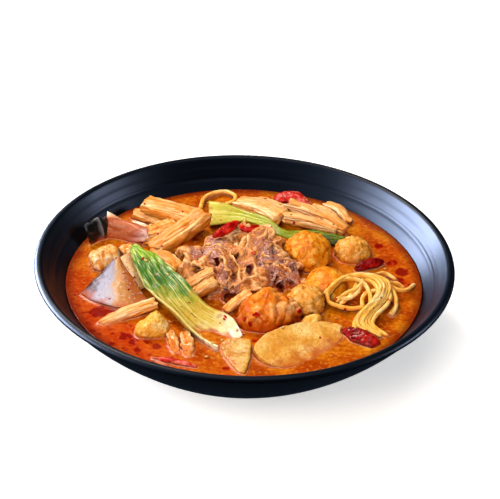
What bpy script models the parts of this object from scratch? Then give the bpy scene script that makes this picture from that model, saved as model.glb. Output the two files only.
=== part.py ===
"""A bowl of malatang: a wide black melamine bowl of red chilli broth, with a heap of thin beef
slices, noodles, dried bean curd sticks, leafy greens, fish balls, fish cake, a fried bean curd pouch,
glass sheets, wood ear and dried chillies standing out of the broth.

Run it with: blender --background --python part.py

The model is in metres with +Z up. The origin is the middle of the foot ring, on the table. The bowl's
near side is -Y. Lengths in the tables below are millimetres, and MM turns them to metres.

Every piece of food is first made whole. The pieces are then fitted together in the order in which they
lie on each other: a piece keeps clear of every piece made before it, and the broth, which comes last,
is cut round whatever dips into it.
"""

import math

import bmesh
import bpy
from mathutils import Matrix, Vector, noise

MM = 0.001

# Driving dimensions, in millimetres.
RIM_RADIUS = 120.0
BOWL_HEIGHT = 58.0
WALL = 3.6
WALL_SLOPE = 0.595
WALL_BEND = 1.009
FOOT_RADIUS = 58.5
FOOT_HEIGHT = 5.0
FOOT_WIDTH = 4.3
BROTH_LEVEL = 41.5
SUNK = 3.0
GAP = 0.45
BROTH_GAP = 0.35
FLOOR = 9.0
TURNS = 40
NOODLE_RADIUS = 1.6
BEEF_THICKNESS = 2.2
BEEF_SHARE = 0.6
LEAF_THICKNESS = 3.4
SHEET_THICKNESS = 1.6
CAKE_THICKNESS = 5.5

# sRGB colours and roughness of each kind of thing.
FINISHES = {
    "melamine": ("14161c", 0.35),
    "broth": ("d2560f", 0.15),
    "beef": ("8e5a3c", 0.45),
    "noodle": ("eda93c", 0.35),
    "bean_curd_stick": ("e7a14e", 0.45),
    "fish_ball": ("e0a044", 0.55),
    "fish_cake": ("dda14f", 0.45),
    "pouch": ("d9691c", 0.45),
    "greens": ("9aa832", 0.4),
    "glass_sheet": ("b9a39a", 0.15),
    "ham": ("b5583a", 0.4),
    "wood_ear": ("1c1512", 0.35),
    "chilli": ("a5140c", 0.3),
}

model = bpy.data.collections.new("malatang")
workshop = bpy.data.collections.new("workshop")
whole_pieces = []


def clear_scene():
    for thing in list(bpy.data.objects):
        bpy.data.objects.remove(thing)
    for collection in (model, workshop):
        bpy.context.scene.collection.children.link(collection)


def linear(channel):
    return channel / 12.92 if channel <= 0.04045 else ((channel + 0.055) / 1.055) ** 2.4


def finish(name):
    """The Principled material of that name, made the first time it is asked for."""
    found = bpy.data.materials.get(name)
    if found:
        return found
    code, roughness = FINISHES[name]
    material = bpy.data.materials.new(name)
    material.use_nodes = True
    shader = material.node_tree.nodes["Principled BSDF"]
    red, green, blue = (linear(int(code[i : i + 2], 16) / 255) for i in (0, 2, 4))
    shader.inputs["Base Color"].default_value = (red, green, blue, 1)
    shader.inputs["Roughness"].default_value = roughness
    return material


def new_object(name, data, collection):
    thing = bpy.data.objects.new(name, data)
    collection.objects.link(thing)
    return thing


def evaluated_mesh(thing):
    """The mesh of a curve, or of a mesh with modifiers, as the viewport shows it, its caps welded on."""
    bpy.context.view_layer.update()
    graph = bpy.context.evaluated_depsgraph_get()
    mesh = bpy.data.meshes.new_from_object(thing.evaluated_get(graph))
    shape = bmesh.new()
    shape.from_mesh(mesh)
    bmesh.ops.remove_doubles(shape, verts=shape.verts, dist=0.002 * MM)
    bmesh.ops.triangulate(shape, faces=shape.faces)
    bmesh.ops.recalc_face_normals(shape, faces=shape.faces)
    shape.to_mesh(mesh)
    shape.free()
    return mesh


def baked(thing, collection=model):
    """A plain mesh object in place of thing, with its modifiers or its curve worked out."""
    made = new_object(thing.name + "_mesh", evaluated_mesh(thing), collection)
    made.matrix_world = thing.matrix_world.copy()
    name = thing.name
    bpy.data.objects.remove(thing)
    made.name = name
    return made


def paint(thing, finish_name):
    thing.data.materials.clear()
    thing.data.materials.append(finish(finish_name))
    thing.data.shade_smooth()
    thing.data.set_sharp_from_angle(angle=math.radians(40))
    return thing


def largest_body(mesh):
    """Drops every loose scrap from a mesh, so that one closed body is left."""
    shape = bmesh.new()
    shape.from_mesh(mesh)
    left = set(shape.verts)
    bodies = []
    while left:
        front = [left.pop()]
        body = set(front)
        while front:
            for edge in front.pop().link_edges:
                for vertex in edge.verts:
                    if vertex in left:
                        left.discard(vertex)
                        body.add(vertex)
                        front.append(vertex)
        bodies.append(body)
    bodies.sort(key=len)
    for body in bodies[:-1]:
        bmesh.ops.delete(shape, geom=list(body), context="VERTS")
    shape.to_mesh(mesh)
    shape.free()


def is_closed(mesh):
    shape = bmesh.new()
    shape.from_mesh(mesh)
    closed = all(edge.is_manifold for edge in shape.edges)
    shape.free()
    return closed


def work_out_boolean(thing, operation, others):
    """Cuts the objects of a collection from thing, or joins them to it, with the first solver that
    leaves a closed surface."""
    modifier = thing.modifiers.new("boolean", "BOOLEAN")
    modifier.operation = operation
    modifier.operand_type = "COLLECTION"
    modifier.collection = others
    for solver in ("MANIFOLD", "EXACT"):
        modifier.solver = solver
        bpy.context.view_layer.update()
        graph = bpy.context.evaluated_depsgraph_get()
        mesh = bpy.data.meshes.new_from_object(thing.evaluated_get(graph))
        largest_body(mesh)
        if is_closed(mesh):
            break
    thing.modifiers.remove(modifier)
    thing.data = mesh


def grown(thing, by):
    """A copy of a whole piece, larger by that much all round, for cutting room for it from its neighbours."""
    mesh = thing.data.copy()
    shape = bmesh.new()
    shape.from_mesh(mesh)
    shape.normal_update()
    moved = [(vertex, vertex.normal * by * min(vertex.calc_shell_factor(), 2)) for vertex in shape.verts]
    for vertex, step in moved:
        vertex.co += step
    shape.to_mesh(mesh)
    shape.free()
    return bpy.data.objects.new(thing.name + "_room", mesh)


def mesh_box(mesh):
    places = [vertex.co for vertex in mesh.vertices]
    return [(min(p[k] for p in places), max(p[k] for p in places)) for k in range(3)]


def near(box, other, room=2 * MM):
    return all(a[0] < b[1] + room and b[0] < a[1] + room for a, b in zip(box, other))


def fit(thing, finish_name):
    """Keeps a new piece clear of every piece before it, then keeps its whole shape for those after it."""
    bpy.context.view_layer.update()
    thing.data.transform(thing.matrix_world)
    thing.matrix_world = Matrix.Identity(4)
    whole = bpy.data.objects.new(thing.name + "_whole", thing.data.copy())
    box = mesh_box(thing.data)
    neighbours = [piece for piece, piece_box in whole_pieces if near(box, piece_box)]
    rooms = bpy.data.collections.new("rooms")
    workshop.children.link(rooms)
    for piece in neighbours:
        rooms.objects.link(grown(piece, GAP * MM))
    if neighbours:
        work_out_boolean(thing, "DIFFERENCE", rooms)
    for room in list(rooms.objects):
        bpy.data.objects.remove(room)
    bpy.data.collections.remove(rooms)
    whole_pieces.append((whole, box))
    return paint(thing, finish_name)


# ---------------------------------------------------------------- shapes


def turned(name, profile, finish_name):
    """A body turned about the Z axis from (radius, height) points, which start and end on the axis."""
    mesh = bpy.data.meshes.new(name)
    shape = bmesh.new()
    points = [shape.verts.new((radius * MM, 0, height * MM)) for radius, height in profile]
    for first, second in zip(points, points[1:]):
        shape.edges.new((first, second))
    shape.to_mesh(mesh)
    shape.free()
    thing = new_object(name, mesh, model)
    screw = thing.modifiers.new("turn", "SCREW")
    screw.steps = screw.render_steps = TURNS
    screw.use_merge_vertices = True
    screw.merge_threshold = 0.01 * MM
    screw.use_normal_calculate = True
    return paint(baked(thing), finish_name)


def smooth_path(points, step):
    """Points every step along a Catmull-Rom curve through the given ones, all in millimetres."""
    knots = [Vector(p) for p in points]
    knots = [2 * knots[0] - knots[1], *knots, 2 * knots[-1] - knots[-2]]
    dense = []
    samples = 16
    for a, b, c, d in zip(knots, knots[1:], knots[2:], knots[3:]):
        for k in range(samples):
            t = k / samples
            square = (2 * a - 5 * b + 4 * c - d) * t**2
            cube = (3 * b - a - 3 * c + d) * t**3
            dense.append(0.5 * (2 * b + (c - a) * t + square + cube))
    dense.append(knots[-2])
    lengths = [0.0]
    for first, second in zip(dense, dense[1:]):
        lengths.append(lengths[-1] + (second - first).length)
    count = max(3, round(lengths[-1] / step) + 1)
    found, k = [], 0
    for n in range(count):
        target = lengths[-1] * n / (count - 1)
        while k < len(dense) - 2 and lengths[k + 1] < target:
            k += 1
        share = (target - lengths[k]) / max(lengths[k + 1] - lengths[k], 1e-9)
        found.append(dense[k].lerp(dense[k + 1], min(share, 1)))
    return found


def strand(name, points, radius=NOODLE_RADIUS, step=6.6):
    """A noodle: a round strand on a smooth curve through a few points."""
    places = smooth_path(points, step)
    curve = bpy.data.curves.new(name, "CURVE")
    curve.dimensions = "3D"
    curve.use_fill_caps = True
    curve.bevel_depth = radius * MM
    curve.bevel_resolution = 1
    spline = curve.splines.new("POLY")
    spline.points.add(len(places) - 1)
    for point, place in zip(spline.points, places):
        point.co = (*(place * MM), 1)
    return baked(new_object(name, curve, model))


def rod(name, points, width, thick, lobes=4, depth=0.14, ends=0.86, step=9.0, sides=8, roll=0.0, crinkle=0.0):
    """A ridged rod with its wide side up, a little thinner at its ends, such as a bean curd stick."""
    places = smooth_path(points, step)
    last = len(places) - 1
    mesh = bpy.data.meshes.new(name)
    shape = bmesh.new()
    rings = []
    for k, place in enumerate(places):
        tangent = (places[min(k + 1, last)] - places[max(k - 1, 0)]).normalized()
        side = tangent.cross(Vector((0, 0, 1))).normalized()
        up = side.cross(tangent)
        size = ends + (1 - ends) * math.sin(math.pi * k / last) ** 0.5
        ring = []
        for j in range(sides):
            angle = 2 * math.pi * j / sides
            swell = size * (1 + depth * math.cos(lobes * angle + 0.4))
            swell *= 1 + crinkle * noise.noise(Vector((k * 1.3, j * 1.9, width)))
            across = width / 2 * math.cos(angle) * swell
            over = thick / 2 * math.sin(angle) * swell
            turn = math.radians(roll)
            x = across * math.cos(turn) - over * math.sin(turn)
            y = across * math.sin(turn) + over * math.cos(turn)
            ring.append(shape.verts.new((place + side * x + up * y) * MM))
        rings.append(ring)
    for first, second in zip(rings, rings[1:]):
        for j in range(sides):
            following = (j + 1) % sides
            shape.faces.new((first[j], first[following], second[following]))
            shape.faces.new((first[j], second[following], second[j]))
    for ring in (rings[0], rings[-1]):
        shape.faces.new(ring)
    bmesh.ops.triangulate(shape, faces=shape.faces)
    bmesh.ops.recalc_face_normals(shape, faces=shape.faces)
    shape.to_mesh(mesh)
    shape.free()
    return new_object(name, mesh, model)


def slab(name, outline, thickness, centre, turn, tip, roll):
    """A flat slice with a smooth outline, tipped and rolled about its middle."""
    knots = [Vector((x, y, 0)) for x, y in outline]
    count = len(knots)
    curve = bpy.data.curves.new(name, "CURVE")
    curve.dimensions = "2D"
    curve.fill_mode = "BOTH"
    curve.extrude = thickness / 2 * MM
    spline = curve.splines.new("POLY")
    spline.points.add(2 * count - 1)
    spline.use_cyclic_u = True
    for k in range(count):
        before, here, after, beyond = (knots[(k + n) % count] for n in (-1, 0, 1, 2))
        between = (9 * (here + after) - before - beyond) / 16
        spline.points[2 * k].co = (*(here * MM), 1)
        spline.points[2 * k + 1].co = (*(between * MM), 1)
    thing = baked(new_object(name, curve, model))
    thing.rotation_euler = (math.radians(tip), math.radians(roll), math.radians(turn))
    thing.location = Vector(centre) * MM
    return thing


def lump(name, centre, radii, seed, bumps=0.1, turn=0.0, segments=10, rings=7, pinch=0.0, peak=0.0):
    """A ball with uneven bumps. Pinch draws its upper half in to a ridge along its own X axis, and peak
    draws that ridge in to a point."""
    mesh = bpy.data.meshes.new(name)
    shape = bmesh.new()
    bmesh.ops.create_uvsphere(shape, u_segments=segments, v_segments=rings, radius=1)
    shift = Vector((seed * 5.3, seed * 2.9, seed * 7.1))
    for vertex in shape.verts:
        way = vertex.co.normalized()
        swell = 1 + bumps * (noise.noise(way * 1.7 + shift) + 0.5 * noise.noise(way * 3.9 - shift))
        across = way.y * (1 - pinch * max(way.z, 0) ** 1.5)
        along = way.x * (1 - peak * max(way.z, 0) ** 1.5)
        vertex.co = Vector((along * radii[0], across * radii[1], way.z * radii[2])) * swell * MM
    bmesh.ops.triangulate(shape, faces=shape.faces)
    shape.to_mesh(mesh)
    shape.free()
    thing = new_object(name, mesh, model)
    thing.location = Vector(centre) * MM
    thing.rotation_euler = (0, 0, math.radians(turn))
    return thing


def sheet(name, surface, thickness, rows, columns, thin_edge=1.0):
    """A thin wavy solid on the surface that surface(u, v) gives in millimetres, for u and v from 0 to 1.
    thin_edge is the share of the thickness left where surface's second value is 0."""
    mesh = bpy.data.meshes.new(name)
    shape = bmesh.new()
    grid, weights = [], []
    for row in range(rows + 1):
        line = []
        for column in range(columns + 1):
            place, weight = surface(row / rows, column / columns)
            line.append(shape.verts.new(Vector(place) * MM))
            weights.append(weight)
        grid.append(line)
    for low, high in zip(grid, grid[1:]):
        for k in range(columns):
            shape.faces.new((low[k], low[k + 1], high[k + 1]))
            shape.faces.new((low[k], high[k + 1], high[k]))
    shape.to_mesh(mesh)
    shape.free()
    thing = new_object(name, mesh, model)
    solidify = thing.modifiers.new("thickness", "SOLIDIFY")
    solidify.thickness = thickness * MM
    solidify.offset = 0
    group = thing.vertex_groups.new(name="thick")
    for index, weight in enumerate(weights):
        group.add([index], weight, "REPLACE")
    solidify.vertex_group = group.name
    solidify.thickness_vertex_group = thin_edge
    return baked(thing)


def trim_below(thing, height):
    """Takes off everything under that height, where a heap rests on what is sunk in the broth."""
    box = lump("box", (0, 0, 0), (1, 1, 1), seed=0)
    shape = bmesh.new()
    bmesh.ops.create_cube(shape, size=2 * RIM_RADIUS * MM)
    shape.to_mesh(box.data)
    shape.free()
    box.location.z = (height - RIM_RADIUS) * MM
    others = bpy.data.collections.new("others")
    workshop.children.link(others)
    model.objects.unlink(box)
    others.objects.link(box)
    bpy.context.view_layer.update()
    work_out_boolean(thing, "DIFFERENCE", others)
    bpy.data.objects.remove(box)
    bpy.data.collections.remove(others)


def thinned(thing, share):
    """Keeps that share of a heap's triangles, by drawing its shortest edges together."""
    modifier = thing.modifiers.new("fewer", "DECIMATE")
    modifier.ratio = share
    return baked(thing)


def fused(name, pieces):
    """One body from several pieces that run into each other."""
    first, *rest = pieces
    others = bpy.data.collections.new("others")
    workshop.children.link(others)
    for piece in rest:
        model.objects.unlink(piece)
        others.objects.link(piece)
    work_out_boolean(first, "UNION", others)
    for piece in list(others.objects):
        bpy.data.objects.remove(piece)
    bpy.data.collections.remove(others)
    first.name = name
    return first


def between(left, right, bulge, ruffle=0.0, waves=2.0, thick_from=0.0):
    """A surface between two edges, each a smooth curve through a few points. Bulge is how far its middle
    stands off, at the start and at the end. Ruffle is the height of the waves along its edges."""
    ends = [Vector(b) for b in bulge]
    edges = [smooth_path(points, 1.0) for points in (left, right)]

    def surface(u, v):
        first, second = (edge[round(u * (len(edge) - 1))] for edge in edges)
        place = first.lerp(second, v)
        place = place + ends[0].lerp(ends[1], u) * 4 * v * (1 - v)
        edge = abs(2 * v - 1) ** 1.5
        place.z += ruffle * edge * math.sin(2 * math.pi * waves * u + (2.0 if v > 0.5 else 0.0))
        return place, min(1, max(0, (u - thick_from) / max(1 - thick_from, 0.01)))

    return surface


def curled(length, width, curl, ruffle, waves, seed):
    """A slice curled about its long axis by curl degrees, with waves along one edge."""
    bend = math.radians(curl)
    radius = width / bend

    def surface(u, v):
        angle = (v - 0.5) * bend
        place = Vector(((u - 0.5) * length, radius * math.sin(angle), radius * (math.cos(angle) - 1)))
        swell = noise.noise(Vector((u * 2.3, v * 2.1, seed)))
        wave = math.sin(2 * math.pi * waves * u + seed) * (0.3 + 0.7 * v)
        return place * (1 + 0.15 * swell) + Vector((0, 0.4, 1)) * (ruffle * wave), 1.0

    return surface


# ---------------------------------------------------------------- the bowl and its broth


def outer_radius(height):
    """Radius of the bowl's outside, which draws in faster and faster below the rim."""
    below = (BOWL_HEIGHT - height) / RIM_RADIUS
    return RIM_RADIUS * (1 - WALL_SLOPE * below - WALL_BEND * below**2)


def inside_point(height, inset):
    """(radius, height) of the point that far in from the outside at a height, square to the wall."""
    slope = WALL_SLOPE + 2 * WALL_BEND * (BOWL_HEIGHT - height) / RIM_RADIUS
    long = math.hypot(1, slope)
    return outer_radius(height) - inset / long, height + inset * slope / long


def inside_profile(inset, heights):
    """The inside from the axis outwards and up, that far in from the outside."""
    lift = inset - WALL
    floor = [(0, FLOOR + lift), (FOOT_RADIUS - 12, FLOOR + lift), (FOOT_RADIUS + 2, FLOOR + 1.6 + lift)]
    return floor + [inside_point(height, inset) for height in heights]


def make_bowl():
    inside = inside_profile(WALL, (13, 23, 34, 45, 54))
    lip = [
        (RIM_RADIUS - WALL + 0.5, BOWL_HEIGHT - 0.3), (RIM_RADIUS - 1.6, BOWL_HEIGHT), (RIM_RADIUS, BOWL_HEIGHT - 1),
    ]
    outside = [(outer_radius(height), height) for height in (46, 35, 23, 11)]
    root = (FOOT_RADIUS + 6.5, FOOT_HEIGHT + 2.2)
    foot = [root, (FOOT_RADIUS + 0.1, FOOT_HEIGHT), (FOOT_RADIUS - 0.2, 0), (FOOT_RADIUS - 0.2 - FOOT_WIDTH, 0)]
    underside = [(FOOT_RADIUS - 1 - FOOT_WIDTH, FOOT_HEIGHT), (0, FOOT_HEIGHT)]
    return turned("bowl", inside + lip + outside + foot + underside, "melamine")


def make_broth():
    inset = WALL + BROTH_GAP
    low, high = BROTH_LEVEL - 2 * inset, BROTH_LEVEL
    while high - low > 0.001:
        middle = (low + high) / 2
        if inside_point(middle, inset)[1] < BROTH_LEVEL:
            low = middle
        else:
            high = middle
    profile = inside_profile(inset, (13, 23, 34, low))
    profile = profile[:-1] + [(profile[-1][0], BROTH_LEVEL), (0, BROTH_LEVEL)]
    broth = turned("broth", profile, "broth")
    return fit(broth, "broth")


# ---------------------------------------------------------------- the food


def make_greens():
    left = [(-66, 5, 54), (-59, -17, 51.5), (-45, -38, 48), (-27, -60, 44.5), (-13, -73, 43.3)]
    right = [(-64, 9, 55), (-50, 1, 55.5), (-37, -17, 54), (-22, -38, 51), (-7, -48, 48), (0, -61, 43.5)]
    surface = between(left, right, [(0, 0, 3), (-3, -2, -9)], ruffle=1.2, thick_from=0.35)
    fit(sheet("greens_front", surface, LEAF_THICKNESS, 10, 6, thin_edge=0.35), "greens")


def make_greens_back():
    far = [(-23, 76, 48), (-6, 69, 48.5), (14, 53, 49.5), (24, 43, 48.5), (44, 46, 46), (60, 42, 43.5)]
    close = [(-22, 52, 44.5), (-5, 57, 46), (14, 45, 47.5), (24, 37, 47), (46, 37.5, 43.5), (61, 38, 42)]
    surface = between(far, close, [(0, 0, -3), (0, 0, 3)], ruffle=0.8, waves=3)
    fit(sheet("greens_back", surface, 2.4, 11, 4), "greens")


# centre, length, width, (roll, pitch, heading), curl, ruffle height, waves
BEEF_SLICES = [
    ((-24, 10, 54), 26, 22, (-10, 8, 20), 150, 1.5, 1.5),
    ((-30, -4, 48.5), 18, 24, (10, 10, -60), 240, 0.6, 1.0),
    ((-14, 2, 54.5), 26, 26, (25, -8, 55), 130, 1.6, 1.0),
    ((1, 11, 58), 24, 18, (-30, -30, 70), 120, 2.6, 1.8),
    ((-3, -3, 53), 22, 12, (20, 20, 35), 100, 1.8, 1.5),
    ((12, 11, 57), 24, 26, (-15, 12, -25), 140, 1.6, 1.2),
    ((21, 4, 53), 24, 22, (10, 28, -20), 150, 1.5, 1.5),
    ((28, -4, 48.5), 18, 16, (10, 40, -35), 160, 1.0, 1.0),
    ((4, -4, 49), 30, 12, (40, 5, 10), 110, 1.8, 2.0),
    ((-4, -11, 47.5), 14, 22, (0, 15, 75), 260, 0.5, 1.0),
    ((-12, -14, 47), 22, 22, (5, 25, -70), 170, 1.0, 1.0),
    ((12, -11, 47), 24, 14, (35, 5, 12), 120, 2.2, 2.5),
    ((-9, -20, 43), 20, 12, (25, 0, -15), 60, 1.0, 1.5),
    ((5, 25, 57), 24, 18, (15, 0, 20), 140, 1.8, 1.5),
    ((-13, 20, 54), 22, 18, (10, -5, -30), 130, 1.5, 1.5),
    ((14, 22, 55), 20, 16, (-10, 20, 60), 140, 1.5, 1.5),
]


def make_beef():
    pieces = [
        lump("beef", (0, 4, 45), (29, 22, 12), seed=4, bumps=0.25, segments=12, rings=7),
        lump("beef_behind", (0, 20, 46), (19, 13, 11), seed=9, bumps=0.2, segments=10, rings=6),
    ]
    for number, (centre, length, width, turns, curl, ruffle, waves) in enumerate(BEEF_SLICES):
        surface = curled(length, width, curl, ruffle, waves, seed=number * 1.7)
        columns = 3 if curl < 140 else 4
        piece = sheet(f"slice_{number}", surface, BEEF_THICKNESS, 3, columns)
        piece.rotation_euler = [math.radians(turn) for turn in turns]
        piece.location = Vector(centre) * MM
        pieces.append(piece)
    heap = thinned(fused("beef", pieces), BEEF_SHARE)
    trim_below(heap, BROTH_LEVEL - SUNK)
    fit(heap, "beef")


NOODLES = [
    [(46, -25, 48), (49, -22, 52), (55, -16, 54), (63, -11, 53.5), (73, -11, 52.5), (80, -16, 51.5),
     (79, -26, 49.5), (72, -37, 47), (68, -45, 45.5), (70, -50, 44), (78, -54, 42)],
    [(66, -10, 52), (74, -14, 53), (77, -22, 52), (73, -31, 50), (66, -40, 48), (63, -47, 46),
     (65, -51, 44.5), (71, -54, 43)],
    [(68, 0, 47), (67, -14, 52), (64, -22, 49), (59, -26, 47.5), (52, -26, 47)],
    [(64, -10, 52), (63, -18, 50), (60, -24, 48), (54, -29, 45)],
    [(67, -30, 44), (67, -25, 47), (70, -21, 48.5), (77, -21, 50.5)],
    [(78, -15, 51), (84, -13, 47.5), (88, -14, 46), (93, -12, 45), (98, -3, 43)],
    [(72, -10, 52), (77, 2, 46), (82, 6, 44), (88, 2, 42)],
    [(79, -15, 51), (84, -7, 46), (88, -6, 45), (92, -7, 42)],
    [(79, -20, 50.5), (84, -21, 46), (86, -26, 44), (82, -34, 42)],
    [(47, -24, 50), (48, -28, 46), (54, -30, 44.5), (60, -28, 42)],
]
BACK_NOODLE = [
    (-28, 74, 44), (-26, 87, 44), (-19, 94, 44), (-12, 95, 44), (-7, 90, 44), (-8, 84, 44), (-13, 81, 43),
]


def make_noodles():
    strands = [strand(f"noodle_{k}", points) for k, points in enumerate(NOODLES)]
    fit(fused("noodles", strands), "noodle")
    fit(strand("noodle_back", BACK_NOODLE), "noodle")


# name, centre, radii, bumps, turn, pinch, finish
LUMPS = [
    ("tofu_pouch", (14, -41, 46), (19.5, 15, 17.5), 0.22, 10, 0.5, "pouch"),
    ("fish_ball_back", (36, 20, 47), (14.6, 14.2, 14.2), 0.1, 20, 0.0, "fish_ball"),
    ("fish_ball_front", (35, -29, 46), (11.4, 11, 10.8), 0.1, 50, 0.0, "fish_ball"),
    ("fish_ball_middle", (47, -10, 42), (14, 13.6, 13.2), 0.08, 80, 0.0, "fish_ball"),
    ("fish_ball_right", (63.5, 29, 41.5), (11.9, 11.5, 11.6), 0.09, 130, 0.0, "fish_ball"),
    ("fried_gluten_left", (-81, 12, 45), (12, 8.5, 8), 0.3, 30, 0.2, "fish_ball"),
    ("fried_gluten_back", (-69, 20, 44), (9, 7, 6.5), 0.3, 10, 0.0, "fish_ball"),
    ("fried_puff_right", (38, -44, 43), (7, 4.5, 4.5), 0.3, 30, 0.0, "fish_ball"),
]


def make_lumps(balls):
    for number, (name, centre, radii, bumps, turn, pinch, finish_name) in enumerate(LUMPS):
        if name.startswith("fish_ball") != balls:
            continue
        made = lump(name, centre, radii, number + 3, bumps, turn, pinch=pinch, peak=1.2 * pinch)
        if not balls:
            trim_below(made, BROTH_LEVEL - SUNK)
        fit(made, finish_name)


def make_puff_front():
    halves = [
        lump("fried_puff_front", (-48, -55, 43), (9.5, 8.5, 10.5), 31, 0.15, 0, segments=10, rings=7, peak=0.5),
        lump("lobe", (-53, -57.5, 43), (7, 6.5, 6.5), 32, 0.15, 0, segments=10, rings=7),
    ]
    puff = fused("fried_puff_front", halves)
    trim_below(puff, BROTH_LEVEL - SUNK)
    fit(puff, "fish_ball")


# name, points, width, thickness, finish, and settings of its own
RODS = {
    "chilli_top": (
        [(-19, 12, 61.5), (-12, 19, 62.5), (-4, 28, 63.5)], 8, 6, "chilli",
        dict(ends=0.35, crinkle=0.3, step=5),
    ),
    "chilli_top_bent": (
        [(-3, 23, 64), (1, 16, 64), (8, 22, 65)], 5, 4, "chilli",
        dict(ends=0.6, crinkle=0.3, step=4),
    ),
    "curd_stick_diagonal": ([(-54, 20, 47.5), (-38, 31, 53), (-24, 43, 58)], 13, 9, "bean_curd_stick", {}),
    "curd_stick_back_left": ([(-61, 67, 50), (-44, 59, 50), (-27, 49, 51)], 16, 8, "bean_curd_stick", {}),
    "curd_stick_centre_back": ([(-33, -18, 47), (-18, -9, 52)], 7, 6, "bean_curd_stick", {}),
    "curd_stick_centre_front": ([(-29, -26, 47), (-16, -18, 51)], 7, 6, "bean_curd_stick", {}),
    "curd_shreds": (
        [(-56, 14, 47), (-47, 9, 48.5), (-38, 0, 47)], 9, 6, "bean_curd_stick", dict(lobes=6, depth=0.2),
    ),
    "curd_stick_lower_left": ([(-68, 66, 44), (-58, 61, 44), (-48, 56, 43.5)], 8, 6, "bean_curd_stick", {}),
    "curd_wrinkled": (
        [(-61, 37, 45), (-52, 41, 47), (-42, 47, 47.5)], 13, 8, "bean_curd_stick", dict(lobes=5, crinkle=0.5),
    ),
    "curd_stick_back_middle": ([(-4, 82, 44), (10, 71, 47), (22, 59, 48)], 14, 8, "bean_curd_stick", {}),
    "curd_stick_back_thin": ([(9, 88, 43), (18, 79, 45), (28, 67, 46)], 5, 5, "bean_curd_stick", {}),
    "curd_stick_right_upper": ([(26, 70, 50), (42, 62, 49), (60, 50, 45)], 10, 8, "bean_curd_stick", {}),
    "curd_stick_right_lower": ([(23, 57, 50), (38, 54.5, 48.5), (55, 48.5, 46)], 8, 6, "bean_curd_stick", {}),
    "curd_stick_far_left": ([(41, 79, 44), (49, 71, 45), (56, 62, 43)], 7, 6, "bean_curd_stick", {}),
    "curd_stick_far_right": ([(50, 82, 44), (57, 74, 45), (63, 65, 42)], 7, 6, "bean_curd_stick", {}),
    "curd_stick_front_left": ([(-78, -48, 40), (-64, -41, 44), (-49, -34, 46)], 8, 6, "bean_curd_stick", {}),
    "curd_strip_centre": (
        [(-10, -36, 43), (-5, -32, 46), (3, -25, 49)], 6, 4, "pouch", dict(crinkle=0.3, step=5),
    ),
    "cabbage_strip_left": (
        [(-40, -58, 43), (-38, -66, 43), (-35, -75, 41)], 6, 3, "bean_curd_stick", dict(crinkle=0.3, step=6),
    ),
    "cabbage_strip_right": (
        [(-31, -58, 43), (-29, -67, 44), (-28, -77, 41)], 8, 3, "bean_curd_stick", dict(crinkle=0.3, step=6),
    ),
    "ham_strip": ([(-69, 58, 43), (-58, 50, 43.5)], 5, 3, "ham", dict(step=5)),
    "chilli_back": (
        [(17, 89, 43), (27, 88, 46), (40, 80, 43)], 12, 8, "chilli", dict(crinkle=0.6, step=5, ends=0.6),
    ),
    "chilli_right": (
        [(64, 11, 43), (73, 16, 44), (82, 21, 43)], 8, 7, "chilli", dict(ends=0.4, crinkle=0.4, step=5),
    ),
    "chilli_front_right": (
        [(56, -49, 42), (66, -57, 43), (74, -64, 42)], 13, 7, "chilli", dict(crinkle=0.5, step=5, ends=0.6),
    ),
    "chilli_front_left": (
        [(-49, -80, 42), (-36, -84, 42.6), (-23, -88, 42)], 5, 3, "chilli",
        dict(crinkle=0.4, step=6, ends=0.4),
    ),
}


def make_rods(names):
    for name in names:
        points, width, thick, finish_name, settings = RODS[name]
        fit(rod(name, points, width, thick, **settings), finish_name)


FISH_CAKE = [
    (-26, 4), (-20, 10), (-9, 15), (6, 17), (20, 15), (30, 10), (29, 3), (20, -4), (5, -11), (-11, -14),
    (-21, -10), (-25, -3),
]
SMALL_CAKE = [(-16, -3), (-14, 4), (-8, 10), (-2, 7.5), (5, 4), (11, 0), (16, -4), (11, -7), (0, -8), (-10, -7)]


def make_fish_cakes():
    fit(slab("fish_cake_large", FISH_CAKE, CAKE_THICKNESS, (31, -68, 41.5), 24, 12, 4), "fish_cake")
    fit(slab("fish_cake_small", SMALL_CAKE, 5, (-1, -77, 41.5), -66, 10, 0), "fish_cake")


def make_sheets():
    front_left = [(-76, -2, 53.5), (-83, -11, 49), (-92, -21, 42.5)]
    front_right = [(-72, 2, 52.5), (-63, -14, 48), (-52, -29, 43)]
    surface = between(front_left, front_right, [(0, -1, 0), (0, -9, 0)], ruffle=0.4)
    fit(sheet("glass_sheet_front", surface, SHEET_THICKNESS, 5, 6), "glass_sheet")
    behind_left = [(-73, 3, 50.5), (-67, -9, 47.5), (-61, -22, 43.5)]
    behind_right = [(-64, 8, 51), (-60, -3, 47.5), (-55, -15, 43.5)]
    surface = between(behind_left, behind_right, [(0, 1, 1), (0, 1, 1)])
    fit(sheet("glass_sheet_back", surface, SHEET_THICKNESS, 4, 4), "glass_sheet")
    top = [(-83, 49, 55), (-73, 46, 51), (-58, 40, 49)]
    bottom = [(-84, 42, 40), (-72, 39, 41), (-57, 32, 44)]
    surface = between(top, bottom, [(0, -3, 1), (0, -2, 3)], ruffle=0.8)
    fit(sheet("ham_slice", surface, 2.2, 5, 3), "ham")
    top = [(-96, 34, 53), (-90, 40, 55), (-84, 45, 54)]
    bottom = [(-93, 33, 40), (-88, 37, 39), (-83, 42, 39)]
    surface = between(top, bottom, [(2, -2, 0), (2, -2, 0)], ruffle=1.0)
    fit(sheet("wood_ear", surface, 1.8, 4, 4), "wood_ear")


def build():
    clear_scene()
    make_bowl()
    make_greens()
    make_rods(["chilli_top", "chilli_top_bent"])
    make_lumps(balls=True)
    make_beef()
    first = ["curd_stick_diagonal", "curd_stick_centre_back", "curd_stick_centre_front"]
    make_rods(first)
    make_greens_back()
    make_noodles()
    make_lumps(balls=False)
    make_puff_front()
    make_rods([name for name in RODS if name not in first and not name.startswith("chilli_top")])
    make_fish_cakes()
    make_sheets()
    make_broth()


build()
workshop.hide_render = True
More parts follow.
